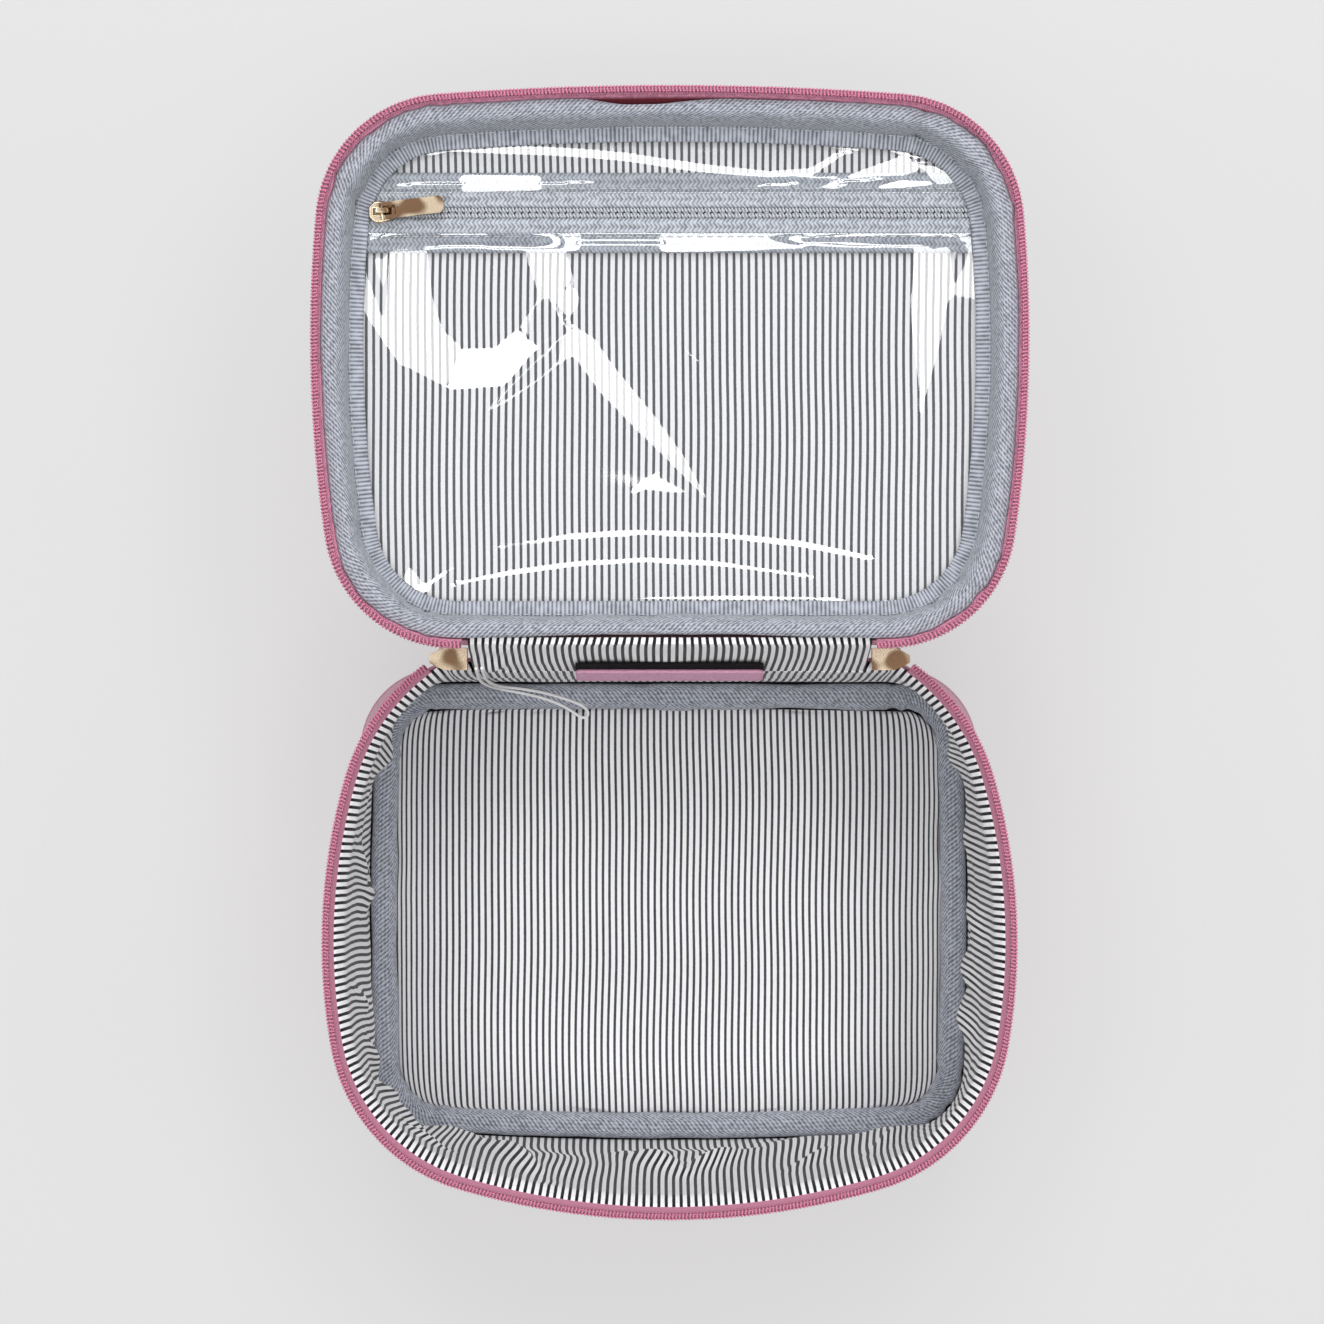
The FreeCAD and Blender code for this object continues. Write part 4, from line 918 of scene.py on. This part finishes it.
class Flank:
    """Slope that lies on a bent line of a given half width and rises to the line's left."""

    def __init__(self, line):
        line = [[size / 10000 for size in place] for place in line]
        self.runs = [(Vector(first), Vector(last)) for first, last in zip(line, line[1:])]
        self.level = len(line) == 2
        reach = 9 * max(wide for x, y, wide in line)
        self.low = Vector((min(place[0] for place in line) - reach, min(place[1] for place in line) - reach))
        self.high = Vector((max(place[0] for place in line) + reach, max(place[1] for place in line) + reach))

    def beside(self, x, y):
        """Distance to the line's left, and the half width there."""
        best = None
        for first, last in self.runs:
            run_x, run_y = last.x - first.x, last.y - first.y
            part = ((x - first.x) * run_x + (y - first.y) * run_y) / (run_x ** 2 + run_y ** 2)
            part = min(max(part, 0), 1)
            step_x, step_y = x - first.x - run_x * part, y - first.y - run_y * part
            gap = math.hypot(step_x, step_y)
            if best is None or gap < best[0]:
                best = gap, run_x * step_y - run_y * step_x, first.z + (last.z - first.z) * part
        return math.copysign(best[0], best[1]), best[2]

    def share(self, x, y):
        """From 0 on the line's right to 1 on its left."""
        gap, wide = self.beside(x, y)
        return min(max((gap + wide) / (2 * wide), 0), 1)

    def fold(self, x, y, tilt):
        """Height of a fold that goes up on the line and comes down gently beyond it."""
        if not (self.low.x < x < self.high.x and self.low.y < y < self.high.y):
            return 0
        gap, wide = self.beside(x, y)
        if gap < wide:
            return tilt * max(gap + wide, 0)
        return tilt * wide * (1 + math.cos(math.pi * min((gap - wide) / (8 * wide), 1)))


class CASE_OT_pocket(bpy.types.Operator):
    """Clear pocket of the lid with its grey zip"""

    bl_idname = "train_case.pocket"
    bl_label = "Clear pocket"

    INSET = 0.0150
    SEAM_INSET = 0.0165
    SEAM_EDGE = 0.0016

    def execute(self, context):
        sizes, tones = looks()
        film = clear_film("clear_film")
        # Painted shade: the pocket's tapes are darker from 20 to 30 mm across them.
        tape = woven_tape("grey_tape", tones.pocket_tape, 0.0014, scaled(tones.pocket_tape, 0.8), 0.02, 0.03)
        coil = nylon("grey_coil", tones.pocket_coil)
        thread = twisted_thread("grey_thread", tones.thread)
        self.film("pocket_upper_film", "pocket_upper_sheet", sizes, film, 2.4)
        self.film("pocket_lower_film", "pocket_lower_sheet", sizes, film, 6.8)
        self.tape("pocket_upper_zip_tape", "pocket_upper_tape", tape)
        self.tape("pocket_lower_zip_tape", "pocket_lower_tape", tape)
        low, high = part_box("pocket_coil")
        turns = round((high.x - low.x) / sizes.pocket_pitch)
        for label, shift, nodes in (("upper", 0.0009, ["pocket_coil"]), ("lower", -0.0009, [])):
            def path(share):
                place = low.x + (high.x - low.x) * share, (low.y + high.y) / 2 + shift, (low.z + high.z) / 2
                return Vector(place), Vector((0, 1, 0))
            mesh = wound(path, turns, 0.0017, 0.0016, sizes.pocket_wire)
            settle(new_piece(mesh, f"pocket_{label}_coil", coil), "lid", "grey_coil", *nodes)
        for label, end, step in (("upper", 0, self.SEAM_EDGE), ("lower", 1, -self.SEAM_EDGE)):
            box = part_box(f"pocket_{label}_sheet")
            edge = box[end].y + step
            half = LID.half_width(edge, self.SEAM_INSET)
            sew(f"pocket_{label}_stitches", thread,
                lambda share: Vector(((2 * share - 1) * half, edge, box[1].z + 0.0004)), 2 * half, "lid", "grey_tape")
        return {"FINISHED"}

    def film(self, name, node, sizes, film, seed):
        """Soft clear sheet that lies in waves and ridges, flat where it is sewn."""
        low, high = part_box(node)
        tall = high.y - low.y
        rows = 40 if tall < 0.05 else 150
        spot = spread(LID, self.INSET, (low.y, high.y))
        folds = [(tilt, Flank(line)) for tilt, line in FILM_FOLDS[node]]
        flanks = [Flank(line) for line in BULGE_FLANKS] if node == "pocket_lower_sheet" else []

        def place(along, across):
            x, y = spot(along, across)
            free = min(along * 25, 25 - along * 25, 1)
            loose = min(min(across, 1 - across) * tall / 0.006, 1)
            slack = loose ** 2 * (3 - 2 * loose)
            wave = rumple(Vector((x, y * 1.5, 0)), 0.07, seed) + 0.5 * rumple(Vector((x, y * 2, 0)), 0.03, seed + 1)
            lift = slack * sizes.film_wave * (wave + 0.35)
            lift += sum(flank.fold(x, y, tilt) * (1 if flank.level else slack) for tilt, flank in folds)
            lift += slack * BULGE_HEIGHT * min((flank.share(x, y) for flank in flanks), default=0)
            return Vector((x, y, high.z + free * lift))

        piece, area = laid_sheet(name, film, sizes.film, (240, rows), place)
        settle(piece, "lid", "clear_sheet", node)
        area / (high.x - low.x)

    def tape(self, name, node, cloth):
        low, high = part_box(node)
        spot = spread(LID, self.INSET, (low.y, high.y))

        def place(along, across):
            x, y = spot(along, across)
            return Vector((x, y, high.z + 0.0002 * rumple(Vector((x, y, 0)), 0.03, 8.2)))

        def chart(along, across):
            return place(along, across).x, across * (high.y - low.y)

        settle(laid_sheet(name, cloth, TAPE, (160, 12), place, chart)[0], "lid", "grey_tape", node)


class CASE_OT_hang_loop(bpy.types.Operator):
    """White cord loop that hangs down the back wall"""

    bl_idname = "train_case.hang_loop"
    bl_label = "Hang loop"

    def execute(self, context):
        tones = looks()[1]
        data = bpy.data.curves.new("hang_loop_cord", "CURVE")
        data.dimensions = "3D"
        spline = data.splines.new("NURBS")
        spline.points.add(len(LOOP_ROUTE) - 1)
        for item, place in zip(spline.points, LOOP_ROUTE):
            item.co = (*place, 1)
        spline.order_u = 3
        spline.use_endpoint_u = True
        spline.resolution_u = 8
        data.bevel_depth = LOOP_DIAMETER / 2
        data.bevel_resolution = 3
        data.use_fill_caps = True
        data.materials.append(braid("white_braid", tones.cord))
        piece = bpy.data.objects.new("hang_loop_cord", data)
        context.scene.collection.objects.link(piece)
        settle(piece, "case_body", "white_cord", "hang_loop")
        return {"FINISHED"}


class CASE_OT_leather(bpy.types.Operator):
    """Outer leather, piping, hinge, label and grip"""

    bl_idname = "train_case.leather"
    bl_label = "Leather"

    WALL_INSET = 0.002
    PANEL_INSET = 0.0052
    PIPING_INSET = 0.0032

    def execute(self, context):
        sizes, tones = looks()
        hide = leather("pink_leather", tones.leather, sizes.grain)
        thread = twisted_thread("pink_thread", scaled(tones.leather, 1.25))
        self.wall(hide, thread)
        self.lid_wall(hide, thread)
        self.panel("base_leather", BASE, "base_panel", "case_body", hide, ["base_panel"])
        self.panel("lid_leather", LID, "lid_panel", "lid", hide, ["lid_panel", "lid_foam"])
        self.piping("base_piping_roll", BASE, "base_piping", "case_body", hide)
        self.piping("lid_piping_roll", LID, "lid_piping", "lid", hide)
        self.hinge(hide)
        self.label(sizes, tones)
        self.grip(hide)
        return {"FINISHED"}

    def wall(self, hide, thread):
        low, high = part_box("body_wall")

        def place(along, across):
            point = BASE.at(along, self.WALL_INSET, low.z).lerp(RIM.at(along, self.WALL_INSET, high.z), across)
            puff = 0.0008 * math.sin(math.pi * across) * (0.4 + rumple(point, 0.06, 2.9))
            return point - RIM.side(along) * puff

        shares = {f"wall_{name}_stitches": (height - low.z) / (high.z - low.z)
                  for name, height in (("foot", low.z + 0.004), ("rim", high.z - 0.004))}
        self.standing("wall_leather", "body_wall", "case_body", RIM, place, 40, (0, 0, 0.06), hide, thread, shares)

    def lid_wall(self, hide, thread):
        low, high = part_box("lid_wall")

        def place(along, across):
            return LID.at(along, self.WALL_INSET, low.z + (high.z - low.z) * across)

        self.standing("lid_wall_leather", "lid_wall", "lid", LID, place, 8, (0, 0.185, 0.137), hide, thread,
                      {"lid_wall_stitches": 0.25})

    def standing(self, name, node, body, outline, place, rows, middle, hide, thread, seams):
        """Leather round the case, seen from outside, with seams at shares of its height."""
        low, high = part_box(node)
        around = outline.perimeter(self.WALL_INSET)
        chart = measured(around, high.z - low.z)
        piece = laid_sheet(name, hide, HIDE, (480, rows), place, chart, True, Vector(middle), away=True)[0]
        settle(piece, body, "outer_leather", node)
        for seam, share in seams.items():
            sew(seam, thread, lambda along: place(along, share) - outline.side(along) * 0.0001, around, body,
                "outer_leather")

    def panel(self, name, outline, node, body, hide, replaced):
        """Outer panel, seen from below."""
        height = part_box(node)[0].z + 0.0001
        spot = spread(outline, self.PANEL_INSET)

        def place(along, across):
            return Vector((*spot(along, across), height))

        piece = laid_sheet(name, hide, HIDE, (60, 48), place, target=Vector((0, 0, -1)))[0]
        settle(piece, body, "outer_leather", *replaced)

    def piping(self, name, outline, node, body, hide):
        low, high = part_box(node)

        def path(along):
            return outline.at(along, self.PIPING_INSET, (low.z + high.z) / 2), outline.side(along)

        mesh = rod(700, 12, path, (high.z - low.z) / 2)
        settle(new_piece(mesh, name, hide), body, "outer_leather", node)

    def hinge(self, hide):
        low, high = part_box("hinge_leather")
        foot = Vector((0, low.y + 0.0009, low.z))
        head = Vector((0, high.y, high.z))

        def place(along, across):
            point = foot.lerp(head, across) + Vector((low.x + (high.x - low.x) * along, 0, 0))
            return point - Vector((0, 0.0002 * rumple(point, 0.02, 3.3), 0))

        piece = laid_sheet("hinge_outer_leather", hide, 0.0008, (100, 60), place, target=Vector((0, 1, 0.12)))[0]
        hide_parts("hinge_leather")
        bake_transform(piece)

    def label(self, sizes, tones):
        """Bare label with rounded ends on its dark backing."""
        backing = felt("dark_backing", tones.backing)
        hide = leather("label_leather", tones.label, sizes.grain * 0.6)
        corner = 0.0016
        for name, node, material, slot, thick in (
                ("label_back", "label_backing", backing, "label_backing", 0.0005),
                ("label_strip", "lining_label", hide, "label_leather", HIDE)):
            low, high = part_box(node)
            foot = Vector((0, low.y, low.z))
            head = Vector((0, high.y - thick, high.z))

            def place(along, across):
                depth = min(across, 1 - across) * (head - foot).length
                cut = corner - math.sqrt(max(corner ** 2 - max(corner - depth, 0) ** 2, 0))
                return foot.lerp(head, across) + Vector(((2 * along - 1) * ((high.x - low.x) / 2 - cut), 0, 0))

            piece = laid_sheet(name, material, thick, (60, 16), place, target=Vector((0, -1, 0.6)))[0]
            settle(piece, "case_body", slot, node)

    def grip(self, hide):
        """Rolled grip, from a merged copy of its CAD node."""
        mesh = bmesh.new()
        mesh.from_mesh(NODES["handle_grip"].data)
        bmesh.ops.remove_doubles(mesh, verts=mesh.verts, dist=1e-5)
        settle(new_piece(mesh, "grip_leather", hide), "handle", "outer_leather", "handle_grip")


class CASE_OT_metal(bpy.types.Operator):
    """Gold finish and soft edges of the sliders, pulls and handle fittings, and the finish of the hidden boards"""

    bl_idname = "train_case.metal"
    bl_label = "Metal and boards"

    def execute(self, context):
        sizes, tones = looks()
        finishes = {"gold_metal": gold_metal("pale_gold", tones.gold), "board": felt("lid_board", tones.board),
                    "base_sheet": felt("base_sheet", tones.base_sheet)}
        for part in frame["record"]["subparts"]:
            if part["material_slot"] in finishes:
                node = NODES[part["node"]]
                node.data.materials.clear()
                node.data.materials.append(finishes[part["material_slot"]])
                if part["material_slot"] == "gold_metal":
                    self.soften(node, sizes.edge)
        return {"FINISHED"}

    def soften(self, node, width):
        weld = node.modifiers.new("Weld", "WELD")
        weld.merge_threshold = 1e-6
        edge = node.modifiers.new("Edges", "BEVEL")
        edge.width = width
        edge.segments = 2
        edge.limit_method = "ANGLE"
        edge.harden_normals = True


class CASE_OT_stage(bpy.types.Operator):
    """Table, camera and lamps"""

    bl_idname = "train_case.stage"
    bl_label = "Stage"

    WHITE = (1, 1, 1, 1)
    TABLE_GLOW = 0.475
    WORLD_LIGHT = 0.40
    # Straight overhead, as far above the rim as the floor's smaller stripes show.
    CAMERA_PLACE = (-0.0025, 0.0907, 1.054)
    LENS = 76.8
    # Lamps: name, place, width and depth in metres, power in watts.
    LAMPS = [
        ("near_box", (0, -0.32, 1.75), 0.95, 0.36, 6.5),
        ("far_box", (0.05, 0.96, 1.75), 1.4, 0.48, 9),
        ("left_box", (-0.68, 0.15, 1.75), 0.5, 0.9, 5),
        ("right_box", (0.68, 0.25, 1.75), 0.5, 1.1, 6),
        ("far_fill", (0, 1.7, 1.6), 1.2, 0.6, 17),
        ("left_fill", (-1.5, 0, 1.5), 0.6, 1.0, 5),
        ("right_fill", (1.5, 0, 1.5), 0.6, 1.0, 5),
    ]

    def execute(self, context):
        context.scene.view_settings.view_transform = "Standard"
        self.table()
        self.camera(context.scene)
        self.lamps(context.scene)
        return {"FINISHED"}

    def table(self):
        finish = Finish("pale_table").principled(base_color=paint(looks()[1].table), roughness=0.9,
                                                 emission_color=self.WHITE, emission_strength=self.TABLE_GLOW)
        mesh = bmesh.new()
        bmesh.ops.create_grid(mesh, x_segments=1, y_segments=1, size=4)
        new_piece(mesh, "table", finish)

    def camera(self, scene):
        data = bpy.data.cameras.new("overhead")
        data.lens = self.LENS
        data.sensor_width = 36
        scene.camera = self.stand(scene, data, self.CAMERA_PLACE)

    def lamps(self, scene):
        world = scene.world or bpy.data.worlds.new("studio")
        scene.world = world
        world.use_nodes = True
        sky = world.node_tree.nodes["Background"].inputs
        sky["Color"].default_value = self.WHITE
        sky["Strength"].default_value = self.WORLD_LIGHT
        for name, place, wide, deep, power in self.LAMPS:
            data = bpy.data.lights.new(name, "AREA")
            data.shape = "RECTANGLE"
            data.size = wide
            data.size_y = deep
            data.energy = power
            self.stand(scene, data, place)

    def stand(self, scene, data, place):
        """Puts a camera or lamp in the scene."""
        item = bpy.data.objects.new(data.name, data)
        item.location = place
        scene.collection.objects.link(item)
        return item


class CASE_PT_panel(bpy.types.Panel):
    """Steps that build the train case's looks"""

    bl_idname = "CASE_PT_panel"
    bl_label = "Train Case"
    bl_space_type = "VIEW_3D"
    bl_region_type = "UI"
    bl_category = "Train Case"

    def draw(self, context):
        for operator in OPERATORS:
            self.layout.operator(operator.bl_idname)
        for settings in (context.scene.train_case_sizes, context.scene.train_case_colours):
            for name in settings.__annotations__:
                self.layout.prop(settings, name)


OPERATORS = (CASE_OT_stage, CASE_OT_hang_loop, CASE_OT_linings, CASE_OT_bindings, CASE_OT_main_zip, CASE_OT_pocket,
             CASE_OT_leather, CASE_OT_metal)
CLASSES = (CaseSizes, CaseColours, *OPERATORS, CASE_PT_panel)


def register():
    for item in CLASSES:
        bpy.utils.register_class(item)
    bpy.types.Scene.train_case_sizes = PointerProperty(type=CaseSizes)
    bpy.types.Scene.train_case_colours = PointerProperty(type=CaseColours)


def unregister():
    del bpy.types.Scene.train_case_colours
    del bpy.types.Scene.train_case_sizes
    for item in reversed(CLASSES):
        bpy.utils.unregister_class(item)


def main():
    register()
    for operator in OPERATORS:
        group, name = operator.bl_idname.split(".")
        getattr(getattr(bpy.ops, group), name)()


if __name__ == "__main__":
    main()
